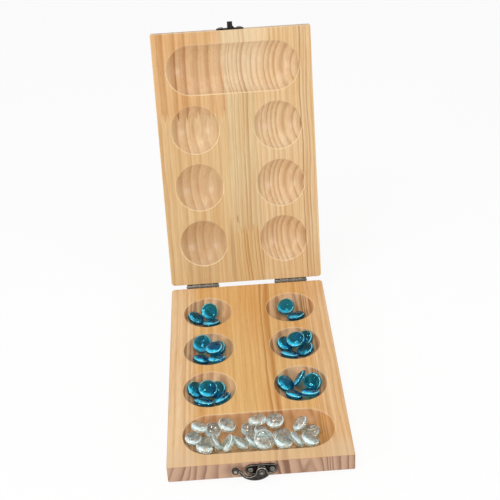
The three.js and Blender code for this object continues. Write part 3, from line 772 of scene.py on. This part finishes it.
def stone_mesh(name, stone, seed, steps=14, segments=40, fullness=2.2):
    """A pressed glass stone: a high dome over a flatter underside, slightly uneven as glass cools."""
    centre, turn, size = stone
    bm = bmesh.new()
    rim_layer = bm.verts.layers.float.new("rim")
    painted_glow_side_layer = bm.verts.layers.float.new("painted_glow_side")
    rows = []
    for step in range(2 * steps + 1):
        angle = math.pi * (step / (2 * steps) - 0.5)
        flat = abs(math.cos(angle)) ** (2 / fullness)
        rise = math.copysign(abs(math.sin(angle)) ** (2 / fullness), angle)
        height = STONE_BASE_HEIGHT if angle < 0 else STONE_DOME_HEIGHT
        count = 1 if step in (0, 2 * steps) else segments
        row = []
        for copy in range(count):
            heading = 2 * math.pi * copy / segments
            wobble = 1 + 0.011 * math.sin(2 * heading + seed) * flat
            wobble += 0.007 * math.sin(3 * heading + 2.3 * seed)
            x = STONE_RADIUS * size[0] * flat * math.cos(heading) * wobble * STONE_SHARE
            y = STONE_RADIUS * size[1] * flat * math.sin(heading) * wobble * STONE_SHARE
            z = height * rise * (1 + 0.03 * flat * math.cos(heading + 1.7 * seed))
            row.append(bm.verts.new(centre + turn @ np.array([x, y, z])))
            row[-1][rim_layer] = flat
            # How far each point of the dome faces the side on which the glow is painted
            if angle > 0 and count > 1:
                outward = turn @ np.array([math.cos(heading), math.sin(heading), 0])
                row[-1][painted_glow_side_layer] = outward @ PAINTED_GLOW_SIDE
        rows.append(row)
    skin_rows(bm, rows)
    return mesh_from(name, bm)


def glass(
    name, skin, painted_shade_skin, streak, tint, body, density, glow, painted_rim_line_tone, middle_milkiness, painted_bent_light_share, rim_painted_glow,
    let_through_share, shaded_glow_share,
):
    """Glass whose body colours the light that crosses it, the more the further it goes. Near its rim, most on the
    side where a real stone would focus the lamps' light, it has a painted glow and a painted bright outline, with
    painted lines of bent light; all are fainter deep in a hollow, where painted shade darkens it, and lamps shine
    through it."""
    n = Nodes(bpy.data.materials.new(name))
    place, _ = n.surface()
    swirl = n.noise(place, 0.2, distortion=1.5)
    dimples = n.noise(place, 0.35, detail=1.0)
    smears = n.noise(place, 1.6, detail=1.0)
    bump = n.bump(dimples, 0.3, 0.4 * MM)
    rise = n.parts(place)[2]
    # Swirled streaks in the glass's colour: a green tinge in the blue glass, and in the clear glass dark streaks
    # painted in for the dark surroundings seen through it
    skin_tone = n.blend(n.between(swirl, 0.4, 0.62), skin, streak)
    clear = n.principled({
        # Painted shade: the glass is darker the lower it lies in its hollow
        "Base Color": n.blend(n.between(rise, *PAINTED_SHADE_HEIGHTS), painted_shade_skin, skin_tone),
        "Roughness": n.between(smears, 0.3, 0.8, 0.01, 0.04),
        "IOR": GLASS_IOR,
        "Transmission Weight": 1.0,
        "Specular Tint": tint,
        "Normal": bump,
    })
    rim = n.layer("rim")
    # A painted highlight: a thin bright line just inside the rim
    line = n.times(n.between(rim, 0.85, 0.9), n.between(rim, 0.93, 0.975, 1.0, 0.1))
    glow_tone = n.stained(n.between(swirl, 0.3, 0.7), glow, srgb(200, 232, 240))
    # A milky, lamp-lit shader in the glow's colour, which paints the glow where it is mixed in
    milky_and_painted_glow = n.principled({
        "Base Color": n.blend(line, glow_tone, painted_rim_line_tone),
        "Roughness": 0.06,
        "IOR": GLASS_IOR,
        "Specular Tint": tint,
        "Normal": bump,
    })
    # The painted glow: a band inside the rim on the glow's side, and the painted bright outline
    band = n.times(n.between(rim, 0.52, 0.8), n.between(rim, 0.86, 0.95, 1.0, 0.0))
    side = n.layer("painted_glow_side")
    painted_glow = n.times(band, n.between(side, 0.25, 0.85))
    painted_glow = n.larger(painted_glow, n.times(line, 0.85))
    # Painted shade: the painted glow fades the lower the stone lies
    painted_glow = n.times(painted_glow, n.between(rise, *PAINTED_GLOW_HEIGHTS, shaded_glow_share, 1.0))
    painted_glow = n.times(painted_glow, n.between(swirl, 0.36, 0.52, 0.3, 1.0))
    # Painted highlights: thin bright lines of bent light wandering through the glass
    bent = n.noise(place, 0.2, detail=0.0, distortion=2.0)
    bent = n.times(n.between(bent, 0.46, 0.5), n.between(bent, 0.51, 0.57, 1.0, 0.0))
    painted_glow = n.larger(painted_glow, n.times(bent, painted_bent_light_share))
    # Mixes in the painted glow, and a little milkiness all over in the clear glass
    with_painted_glow = n.shaders(n.mix(painted_glow, middle_milkiness, rim_painted_glow), clear, milky_and_painted_glow)
    let_through = n.add("ShaderNodeBsdfTransparent").outputs[0]
    shadow_ray = n.add("ShaderNodeLightPath").outputs["Is Shadow Ray"]
    absorption = n.made("ShaderNodeVolumeAbsorption", {"Color": body, "Density": density})
    n.put(n.output.inputs["Volume"], absorption)
    return n.done(n.shaders(n.times(shadow_ray, let_through_share), with_painted_glow, let_through))


blue_glass = glass(
    "glass_blue",
    skin=srgb(205, 248, 255),
    painted_shade_skin=srgb(120, 190, 236),
    streak=srgb(200, 246, 226),
    tint=srgb(110, 228, 255),
    body=(0.01, 0.73, 0.86, 1.0),
    density=740.0,
    glow=srgb(62, 214, 255),
    painted_rim_line_tone=srgb(140, 244, 255),
    middle_milkiness=0.0,
    painted_bent_light_share=0.22,
    rim_painted_glow=1.0,
    let_through_share=0.5,
    shaded_glow_share=0.1,
)
clear_glass = glass(
    "glass_clear",
    skin=srgb(252, 253, 252),
    painted_shade_skin=srgb(228, 234, 228),
    streak=srgb(158, 160, 150),
    tint=srgb(255, 255, 255),
    body=(0.8, 0.89, 0.84, 1.0),
    density=70.0,
    glow=srgb(248, 255, 252),
    painted_rim_line_tone=srgb(252, 255, 253),
    middle_milkiness=0.08,
    painted_bent_light_share=0.2,
    rim_painted_glow=0.95,
    let_through_share=0.4,
    shaded_glow_share=0.5,
)

seed = 0
for node in sorted(frame["nodes"]):
    if "stone" not in node:
        continue
    is_blue = node.startswith("blue")
    for index, stone in enumerate(stones_of(node)):
        seed += 1
        name = f"{node}_glass_{'ab'[index]}" if "pair" in node else f"{node}_glass"
        obj = new_object(name, stone_mesh(name, stone, seed))
        obj.data.materials.append(blue_glass if is_blue else clear_glass)
        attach(obj, BODY_OF[node])
        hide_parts(node)


# Hardware
def antique_bronze():
    """Blackened brass, bright on its edges, partly from wear and partly as a painted highlight, and lighter by a
    share on its faces as painted sheen.
    """
    n = Nodes(bpy.data.materials.new("antique_bronze"))
    place, _ = n.surface()
    blotch = n.noise(place, 0.45, detail=4.0, roughness=0.65)
    grit = n.noise(place, 5.0, detail=3.0, roughness=0.7)
    scratch = n.noise(place, (0.9, 9.0, 9.0))
    rubbed_and_highlight = n.layer("rubbed_and_highlight")
    worn_and_highlight = n.times(rubbed_and_highlight, n.between(blotch, 0.35, 0.6, 0.5, 1.0))
    colour = n.blend(n.between(blotch, 0.35, 0.7), srgb(28, 26, 26), srgb(50, 46, 43))
    colour = n.blend(n.between(scratch, 0.58, 0.8, 0.0, 0.25), colour, srgb(96, 90, 82))
    # Bright tone on the edges and over part of the faces: partly wear, partly painted highlight and sheen
    colour = n.blend(worn_and_highlight, colour, srgb(168, 161, 150))
    roughness = n.minus(n.between(blotch, 0.3, 0.7, 0.34, 0.5), n.times(worn_and_highlight, 0.12))
    return n.done(n.principled({
        "Base Color": colour,
        "Metallic": 1.0,
        "Roughness": roughness,
        "Normal": n.bump(n.plus(grit, blotch), 0.3, 0.08 * MM),
    }))


bronze = antique_bronze()
SIDES = (("left", -1), ("right", 1))
SHARP_ANGLE = math.radians(32)
NARROW = 0.2 * MM
FINE_EDGE = 0.06 * MM
CAST_EDGE = 0.12 * MM
PLATE_EDGE = 0.2 * MM
HOOK_EDGE = 0.5 * MM
# How much of the edges' bright tone the faces of screws and hinge leaves take, as painted sheen
SCREW_WEAR_AND_SHEEN = 0.4
LEAF_WEAR_AND_SHEEN = 0.45

SEAT_GAP = 0.25 * MM
TURN_CLEARANCE = 0.25 * MM
PILOT_CLEARANCE = 0.2 * MM
OVERRUN = 5 * MM

HINGE_OFFSET = BOARD_WIDTH / 2 - 27.3 * MM
HINGE_WIDTH = 27.8 * MM
LEAF_HEIGHT = 11 * MM
LEAF_THICKNESS = 0.7 * MM
BARREL_RADIUS = 1.85 * MM
PIN_RADIUS = 0.9 * MM
PIN_DOME_HEIGHT = 0.4 * MM
KNUCKLES = 5
KNUCKLE_GAP = 0.3 * MM
LEAF_SCREW_SPACING = 17 * MM

CLASP_DROP = 6.2 * MM
CLASP_LENGTH = 22.8 * MM
CLASP_HEIGHT = 9 * MM
CLASP_THICKNESS = 1.3 * MM
CLASP_RIM_WIDTH = 0.9 * MM
CLASP_POCKET_DEPTH = 0.45 * MM
CLASP_BOSS_RADIUS = 3.1 * MM
CLASP_BOSS_HEIGHT = 0.6 * MM
CLASP_SCREW_SPACING = 15.2 * MM
RIVET_RADIUS = 1.4 * MM
RIVET_HEAD_RADIUS = 2.5 * MM
RIVET_HEAD_HEIGHT = 0.9 * MM
RIVET_TAIL_RADIUS = 2.1 * MM
RIVET_TAIL_THICKNESS = 0.6 * MM
HOOK_THICKNESS = 1.8 * MM
HUB_RADIUS = 3.9 * MM
HORN_OUTER_RADIUS = 12.2 * MM
HORN_OUTER_CENTRE = (-4.2 * MM, 4.3 * MM)
HORN_INNER_RADIUS = 4.75 * MM
HORN_INNER_CENTRE = (-8.4 * MM, 0.6 * MM)
HORN_NECK_PLACE = (-14.7 * MM, 1.9 * MM)
HUB_ARC = (20, 189)
HORN_INNER_ARC = (-18, -170)
HORN_OUTER_ARC = (189, 320.4)
KNOB_RADIUS = 2.7 * MM
KNOB_PLACE = (-18.2 * MM, 1.9 * MM)

POST_REACH = 10.4 * MM
STRIKE_LENGTH = 22.4 * MM
STRIKE_HEIGHT = 7.5 * MM
STRIKE_THICKNESS = 1 * MM
POST_RADIUS = 2.2 * MM
POST_HEIGHT = 5.2 * MM
GUSSET_LENGTH = 1.6 * MM
GUSSET_HEIGHT = 1.9 * MM
GUSSET_THICKNESS = 2.4 * MM

SCREW_HEAD_RADIUS = 2.1 * MM
SCREW_HEAD_HEIGHT = 0.7 * MM
SCREW_SHANK_RADIUS = 1.1 * MM
SCREW_LENGTH = 7.5 * MM
SCREW_TIP_LENGTH = 2 * MM
SCREW_SLOT_WIDTH = 0.55 * MM
SCREW_SLOT_LENGTH = 2.3 * MM
SCREW_SLOT_DEPTH = 0.35 * MM

# Parts are drawn standing along +Z, and these turn them to stand along -Y, +Y and X
OUTWARD = Matrix.Rotation(math.radians(90), 4, "X")
INWARD = Matrix.Rotation(math.radians(-90), 4, "X")
CROSSWISE = Matrix.Rotation(math.radians(90), 4, "Y")


def shift(x, y, z):
    return Matrix.Translation((x, y, z))


def part_from(bm, matrix):
    """A part for joining and cutting, which is gone once combined."""
    bmesh.ops.transform(bm, matrix=matrix, verts=bm.verts)
    return new_object("part", mesh_from("part", bm))


def box_part(low, high):
    bm = bmesh.new()
    corners = [bm.verts.new(place) for place in product(*zip(low, high))]
    for face in ((0, 1, 3, 2), (4, 6, 7, 5), (0, 4, 5, 1), (2, 3, 7, 6), (0, 2, 6, 4), (1, 5, 7, 3)):
        bm.faces.new([corners[index] for index in face])
    return part_from(bm, Matrix.Identity(4))


def turned_part(profile, matrix=Matrix.Identity(4), facets=40):
    """A part turned about Z, from (radius, height) pairs that start and end on the axis."""
    bm = bmesh.new()
    rows = []
    for radius, height in profile:
        row = []
        for copy in range(facets if radius else 1):
            angle = 2 * math.pi * copy / facets
            row.append(bm.verts.new((radius * math.cos(angle), radius * math.sin(angle), height)))
        rows.append(row)
    skin_rows(bm, rows)
    return part_from(bm, matrix)


def rod_part(radius, low, high, matrix=Matrix.Identity(4)):
    return turned_part([(0, low), (radius, low), (radius, high), (0, high)], matrix)


def dome(radius, low, height, steps=6):
    """Profile of a low dome on a rim of this radius, up to the axis."""
    profile = []
    for step in range(steps + 1):
        angle = math.pi / 2 * step / steps
        profile.append((radius * math.cos(angle) if step < steps else 0, low + height * math.sin(angle)))
    return profile


def flat_part(outline, low, high, matrix=Matrix.Identity(4)):
    bm = bmesh.new()
    bottom = [bm.verts.new((x, y, low)) for x, y in outline]
    top = [bm.verts.new((x, y, high)) for x, y in outline]
    bm.faces.new(bottom)
    bm.faces.new(top)
    skin_rows(bm, [bottom, top])
    return part_from(bm, matrix)


def soft_part(outline, low, high, edge, steps=4):
    """A flat part with wide round edges, whose outline runs anticlockwise."""
    rows = []
    bm = bmesh.new()
    outward = []
    for index, (x, y) in enumerate(outline):
        before = outline[index - 1]
        after = outline[(index + 1) % len(outline)]
        along = Vector((after[0] - before[0], after[1] - before[1])).normalized()
        outward.append((along.y, -along.x))
    for rim, sign in ((low, 1), (high, -1)):
        turns = range(steps + 1) if sign > 0 else range(steps, -1, -1)
        for step in turns:
            angle = math.pi / 2 * step / steps
            inset = edge * (1 - math.sin(angle))
            height = rim + sign * edge * (1 - math.cos(angle))
            row = []
            for (x, y), (out_x, out_y) in zip(outline, outward):
                row.append(bm.verts.new((x - inset * out_x, y - inset * out_y, height)))
            rows.append(row)
    bm.faces.new(rows[0])
    bm.faces.new(rows[-1])
    skin_rows(bm, rows)
    return part_from(bm, Matrix.Identity(4))


def arc_points(centre, radius, start, end, steps=24):
    points = []
    for step in range(steps + 1):
        angle = math.radians(start + (end - start) * step / steps)
        points.append((centre[0] + radius * math.cos(angle), centre[1] + radius * math.sin(angle)))
    return points


def stadium(length, height):
    centre = (length - height) / 2
    return arc_points((centre, 0), height / 2, -90, 90) + arc_points((-centre, 0), height / 2, 90, 270)


def combined(first, *steps):
    """Joins parts to the first one and cuts others from it, and returns the mesh."""
    for operation, other in steps:
        modifier = first.modifiers.new(operation, "BOOLEAN")
        modifier.operation = operation
        modifier.solver = "EXACT"
        modifier.object = other
    bpy.context.view_layer.update()
    graph = bpy.context.evaluated_depsgraph_get()
    mesh = bpy.data.meshes.new_from_object(first.evaluated_get(graph))
    for obj in (first, *[other for _, other in steps]):
        bpy.data.objects.remove(obj)
    return mesh


def is_narrow(face):
    return face.calc_area() < NARROW * max(edge.calc_length() for edge in face.edges)


def rounded(mesh, width, wear_and_sheen):
    """Rounds the sharp edges of a part, and marks how bright to paint it: its narrow rounded edges fully, for wear
    and a painted highlight, and the rest by the given share, for painted sheen.
    """
    bm = bmesh.new()
    bm.from_mesh(mesh)
    bmesh.ops.remove_doubles(bm, verts=bm.verts, dist=0.01 * MM)
    sharp = [edge for edge in bm.edges if edge.is_manifold and edge.calc_face_angle() > SHARP_ANGLE]
    bmesh.ops.bevel(
        bm, geom=sharp, offset=width, offset_type="OFFSET", segments=4, profile=0.5, affect="EDGES",
        clamp_overlap=True,
    )
    rubbed_and_highlight = bm.verts.layers.float.new("rubbed_and_highlight")
    for vert in bm.verts:
        vert[rubbed_and_highlight] = 1.0 if all(is_narrow(face) for face in vert.link_faces) else wear_and_sheen
    for face in bm.faces:
        face.smooth = True
    bm.to_mesh(mesh)
    bm.free()


def metal_piece(node, mesh, matrix, edge=CAST_EDGE, wear_and_sheen=0.0):
    name = f"{node}_cast"
    mesh.name = name
    mesh.materials.clear()
    mesh.materials.append(bronze)
    rounded(mesh, edge, wear_and_sheen)
    obj = new_object(name, mesh, matrix)
    weighted = obj.modifiers.new("weighted", "WEIGHTED_NORMAL")
    weighted.weight = 100
    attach(obj, BODY_OF[node])
    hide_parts(node)


# Screws
def screw_mesh():
    low = SCREW_HEAD_HEIGHT - SCREW_SLOT_DEPTH
    high = SCREW_HEAD_HEIGHT + OVERRUN
    half_length, half_width = SCREW_SLOT_LENGTH / 2, SCREW_SLOT_WIDTH / 2
    body = turned_part([
        (0, -SCREW_LENGTH),
        (SCREW_SHANK_RADIUS, SCREW_TIP_LENGTH - SCREW_LENGTH),
        (SCREW_SHANK_RADIUS, 0),
        (SCREW_HEAD_RADIUS, 0),
        *dome(SCREW_HEAD_RADIUS, SCREW_HEAD_HEIGHT / 4, SCREW_HEAD_HEIGHT * 3 / 4),
    ])
    slot_a = box_part((-half_length, -half_width, low), (half_length, half_width, high))
    slot_b = box_part((-half_width, -half_length, low), (half_width, half_length, high))
    return combined(body, ("DIFFERENCE", slot_a), ("DIFFERENCE", slot_b))


screw_source = screw_mesh()


def screw(node, matrix):
    metal_piece(node, screw_source.copy(), matrix, FINE_EDGE, SCREW_WEAR_AND_SHEEN)


# Hinges
LEAF_BACK = HINGE_END + SEAT_GAP
LEAF_FRONT = LEAF_BACK + LEAF_THICKNESS
LEAF_TOP = -BARREL_RADIUS - KNUCKLE_GAP
LEAF_SCREW_HEIGHT = (LEAF_TOP - LEAF_HEIGHT) / 2
KNUCKLE_LENGTH = (HINGE_WIDTH - (KNUCKLES - 1) * KNUCKLE_GAP) / KNUCKLES


def leaf_mesh(first_knuckle):
    half = HINGE_WIDTH / 2
    leaf = box_part((-half, LEAF_BACK, -LEAF_HEIGHT), (half, LEAF_FRONT, LEAF_TOP))
    steps = []
    for knuckle in range(first_knuckle, KNUCKLES, 2):
        start = -half + knuckle * (KNUCKLE_LENGTH + KNUCKLE_GAP)
        end = start + KNUCKLE_LENGTH
        web = box_part((start, LEAF_BACK, LEAF_TOP - LEAF_THICKNESS / 2), (end, LEAF_FRONT, 0))
        barrel = rod_part(BARREL_RADIUS, start, end, CROSSWISE)
        steps += [("UNION", web), ("UNION", barrel)]
    bore = rod_part(PIN_RADIUS + TURN_CLEARANCE, -half - OVERRUN, half + OVERRUN, CROSSWISE)
    steps.append(("DIFFERENCE", bore))
    for side in (-1, 1):
        place = shift(side * LEAF_SCREW_SPACING / 2, LEAF_BACK, LEAF_SCREW_HEIGHT) @ INWARD
        hole = rod_part(SCREW_SHANK_RADIUS + PILOT_CLEARANCE, -OVERRUN, OVERRUN, place)
        steps.append(("DIFFERENCE", hole))
    return combined(leaf, *steps)


half_pin = HINGE_WIDTH / 2 + SEAT_GAP
pin_end = dome(PIN_RADIUS, half_pin, PIN_DOME_HEIGHT)
pin_profile = [(radius, -height) for radius, height in reversed(pin_end)] + pin_end
TURNED_OVER = Matrix.Rotation(math.pi, 4, "Y")

for side_name, side in SIDES:
    middle = shift(side * HINGE_OFFSET, 0, 0)
    lid_leaf_place = LID_MATRIX @ middle @ TURNED_OVER
    metal_piece(f"{side_name}_hinge_base_leaf", leaf_mesh(0), BASE_MATRIX @ middle, wear_and_sheen=LEAF_WEAR_AND_SHEEN)
    metal_piece(f"{side_name}_hinge_lid_leaf", leaf_mesh(1), lid_leaf_place, wear_and_sheen=LEAF_WEAR_AND_SHEEN)
    pin = combined(turned_part(pin_profile))
    metal_piece(f"{side_name}_hinge_pin", pin, BASE_MATRIX @ middle @ CROSSWISE)
    for place_name, place in (("outer", side), ("inner", -side)):
        x = side * HINGE_OFFSET + place * LEAF_SCREW_SPACING / 2
        y = LEAF_FRONT + SEAT_GAP
        base_place = BASE_MATRIX @ shift(x, y, LEAF_SCREW_HEIGHT) @ INWARD
        lid_place = LID_MATRIX @ shift(x, y, -LEAF_SCREW_HEIGHT) @ INWARD
        screw(f"{side_name}_hinge_base_screw_{place_name}", base_place)
        screw(f"{side_name}_hinge_lid_screw_{place_name}", lid_place)

# Clasp
CLASP_MATRIX = BASE_MATRIX @ shift(0, CLASP_END, -CLASP_DROP) @ OUTWARD
STRIKE_MATRIX = LID_MATRIX @ shift(0, CLASP_END, POST_REACH - CLASP_DROP) @ OUTWARD
CLASP_FACE = SEAT_GAP + CLASP_THICKNESS
CLASP_FLOOR = CLASP_FACE - CLASP_POCKET_DEPTH
BOSS_TOP = CLASP_FACE + CLASP_BOSS_HEIGHT
HOOK_BACK = BOSS_TOP + TURN_CLEARANCE
HOOK_FRONT = HOOK_BACK + HOOK_THICKNESS


def plate_holes(spacing):
    radius = SCREW_SHANK_RADIUS + PILOT_CLEARANCE
    places = [shift(side * spacing / 2, 0, 0) for side in (-1, 1)]
    return [("DIFFERENCE", rod_part(radius, -OVERRUN, OVERRUN, place)) for place in places]


def clasp_plate_mesh():
    plate = flat_part(stadium(CLASP_LENGTH, CLASP_HEIGHT), SEAT_GAP, CLASP_FACE)
    rim = 2 * CLASP_RIM_WIDTH
    pocket = flat_part(stadium(CLASP_LENGTH - rim, CLASP_HEIGHT - rim), CLASP_FLOOR, CLASP_FACE + OVERRUN)
    boss = rod_part(CLASP_BOSS_RADIUS, CLASP_FLOOR - CLASP_POCKET_DEPTH, BOSS_TOP)
    bore = rod_part(RIVET_RADIUS + PILOT_CLEARANCE, -OVERRUN, OVERRUN)
    steps = [("DIFFERENCE", pocket), ("UNION", boss), ("DIFFERENCE", bore)]
    return combined(plate, *steps, *plate_holes(CLASP_SCREW_SPACING))


def rivet_mesh():
    head_low = HOOK_FRONT + TURN_CLEARANCE
    return combined(turned_part([
        (0, -RIVET_TAIL_THICKNESS),
        (RIVET_TAIL_RADIUS, -RIVET_TAIL_THICKNESS),
        (RIVET_TAIL_RADIUS, 0),
        (RIVET_RADIUS, 0),
        (RIVET_RADIUS, head_low),
        *dome(RIVET_HEAD_RADIUS, head_low, RIVET_HEAD_HEIGHT),
    ]))


def knob_profile():
    """A round knob with a ring sunk into its face, as shares of its radius."""
    shares = [(0, -0.82), (0.4, -0.78), (0.74, -0.6), (0.94, -0.3), (1, 0), (0.95, 0.3), (0.82, 0.55)]
    shares += [(0.67, 0.64), (0.54, 0.56), (0.47, 0.5), (0.38, 0.58), (0.23, 0.72), (0, 0.78)]
    return [(radius * KNOB_RADIUS, height * KNOB_RADIUS) for radius, height in shares]


def hook_mesh():
    outline = arc_points((0, 0), HUB_RADIUS, *HUB_ARC)
    outline += arc_points(HORN_INNER_CENTRE, HORN_INNER_RADIUS, *HORN_INNER_ARC)
    outline.append(HORN_NECK_PLACE)
    outline += arc_points(HORN_OUTER_CENTRE, HORN_OUTER_RADIUS, *HORN_OUTER_ARC)
    hook = soft_part(outline, HOOK_BACK, HOOK_FRONT, HOOK_EDGE)
    knob = turned_part(knob_profile(), shift(*KNOB_PLACE, (HOOK_BACK + HOOK_FRONT) / 2))
    bore = rod_part(RIVET_RADIUS + TURN_CLEARANCE, -OVERRUN, OVERRUN * 2)
    return combined(hook, ("UNION", knob), ("DIFFERENCE", bore))


def strike_mesh():
    face = SEAT_GAP + STRIKE_THICKNESS
    low = face - STRIKE_THICKNESS / 2
    far = POST_RADIUS + GUSSET_LENGTH
    high = face + GUSSET_HEIGHT
    web = [(0, low), (far, low), (far, face), (POST_RADIUS, high), (0, high)]
    plate = flat_part(stadium(STRIKE_LENGTH, STRIKE_HEIGHT), SEAT_GAP, face)
    post = rod_part(POST_RADIUS, low, face + POST_HEIGHT)
    gusset = flat_part(web, -GUSSET_THICKNESS / 2, GUSSET_THICKNESS / 2, OUTWARD)
    return combined(plate, ("UNION", post), ("UNION", gusset), *plate_holes(CLASP_SCREW_SPACING))


metal_piece("clasp_plate", clasp_plate_mesh(), CLASP_MATRIX, PLATE_EDGE)
metal_piece("clasp_rivet", rivet_mesh(), CLASP_MATRIX, wear_and_sheen=0.2)
metal_piece("clasp_hook", hook_mesh(), CLASP_MATRIX, FINE_EDGE, 0.1)
metal_piece("strike_plate", strike_mesh(), STRIKE_MATRIX, PLATE_EDGE)
for side_name, side in SIDES:
    x = side * CLASP_SCREW_SPACING / 2
    clasp_screw = CLASP_MATRIX @ shift(x, 0, CLASP_FLOOR + SEAT_GAP)
    strike_screw = STRIKE_MATRIX @ shift(x, 0, STRIKE_THICKNESS + 2 * SEAT_GAP)
    screw(f"clasp_screw_{side_name}", clasp_screw)
    screw(f"strike_screw_{side_name}", strike_screw)
bpy.data.meshes.remove(screw_source)

# Camera, turned and placed as the photograph's
CAMERA_AXES = ((0.99757, -0.04774, -0.05082), (0.06851, 0.53588, 0.84151), (-0.01294, -0.84294, 0.53785))
CAMERA_PLACE = (-0.00648, -0.61028, 0.50923)
LENS = 71.34
SENSOR_WIDTH = 36
camera = new_object(
    "camera", bpy.data.cameras.new("camera"),
    Matrix.Translation(CAMERA_PLACE) @ Matrix(CAMERA_AXES).transposed().to_4x4(),
)
camera.data.lens = LENS
camera.data.sensor_width = SENSOR_WIDTH
camera.data.sensor_fit = "HORIZONTAL"
bpy.context.scene.camera = camera


# Floor, lights and world
WHITE = (1, 1, 1, 1)
FLOOR_COLOUR = (0.92, 0.92, 0.92, 1)
FLOOR_GLOW_SHARE = 0.9
FLOOR_HALF = 4.0
FLOOR_GAP = 0.4 * MM
WORLD_STRENGTH = 0.5


def seen_directly(n):
    """One for the rays that show a surface to the eye, straight or through gloss or glass."""
    rays = n.add("ShaderNodeLightPath")
    seen = n.larger(rays.outputs["Is Camera Ray"], rays.outputs["Is Glossy Ray"])
    return n.larger(seen, rays.outputs["Is Transmission Ray"])


def floor_material():
    n = Nodes(bpy.data.materials.new("floor"))
    diffuse = n.made("ShaderNodeBsdfDiffuse", {"Color": FLOOR_COLOUR})
    glow = n.made("ShaderNodeEmission", {"Color": WHITE, "Strength": 1.0})
    share = n.times(seen_directly(n), FLOOR_GLOW_SHARE)
    return n.done(n.shaders(share, diffuse, glow))


floor_bm = bmesh.new()
corners = [(x * FLOOR_HALF, y * FLOOR_HALF, -FLOOR_GAP) for x, y in ((-1, -1), (1, -1), (1, 1), (-1, 1))]
floor_bm.faces.new([floor_bm.verts.new(corner) for corner in corners])
floor = new_object("floor", mesh_from("floor", floor_bm))
floor.data.materials.append(floor_material())

LAMP_TARGET = Vector((0, 0, 0.08))


def soft_light(name, place, size, power):
    lamp = bpy.data.lights.new(name, "AREA")
    lamp.shape = "RECTANGLE"
    lamp.size = size
    lamp.size_y = size
    lamp.energy = power
    obj = new_object(name, lamp)
    obj.location = place
    obj.rotation_euler = (LAMP_TARGET - Vector(place)).to_track_quat("-Z", "Y").to_euler()


soft_light("left_softbox", (-0.9, -0.72, 0.38), 0.28, 4.6)
soft_light("right_softbox", (0.92, -0.7, 0.36), 0.28, 4.6)
soft_light("top_softbox", (-0.4, -0.45, 1.2), 0.3, 3.5)

# Two small lamps for the pairs of glints in the glass
for side_name, side in SIDES:
    soft_light(f"{side_name}_small_lamp", (side * 0.2, 0.1, 1.15), 0.08, 0.8)

world = bpy.data.worlds.new("studio")
bpy.context.scene.world = world
n = Nodes(world, "ShaderNodeOutputWorld")
strength = n.between(seen_directly(n), 0.0, 1.0, WORLD_STRENGTH, 1.0, smooth=False)
n.done(n.made("ShaderNodeBackground", {"Color": WHITE, "Strength": strength}))

bpy.context.scene.view_settings.view_transform = "Standard"
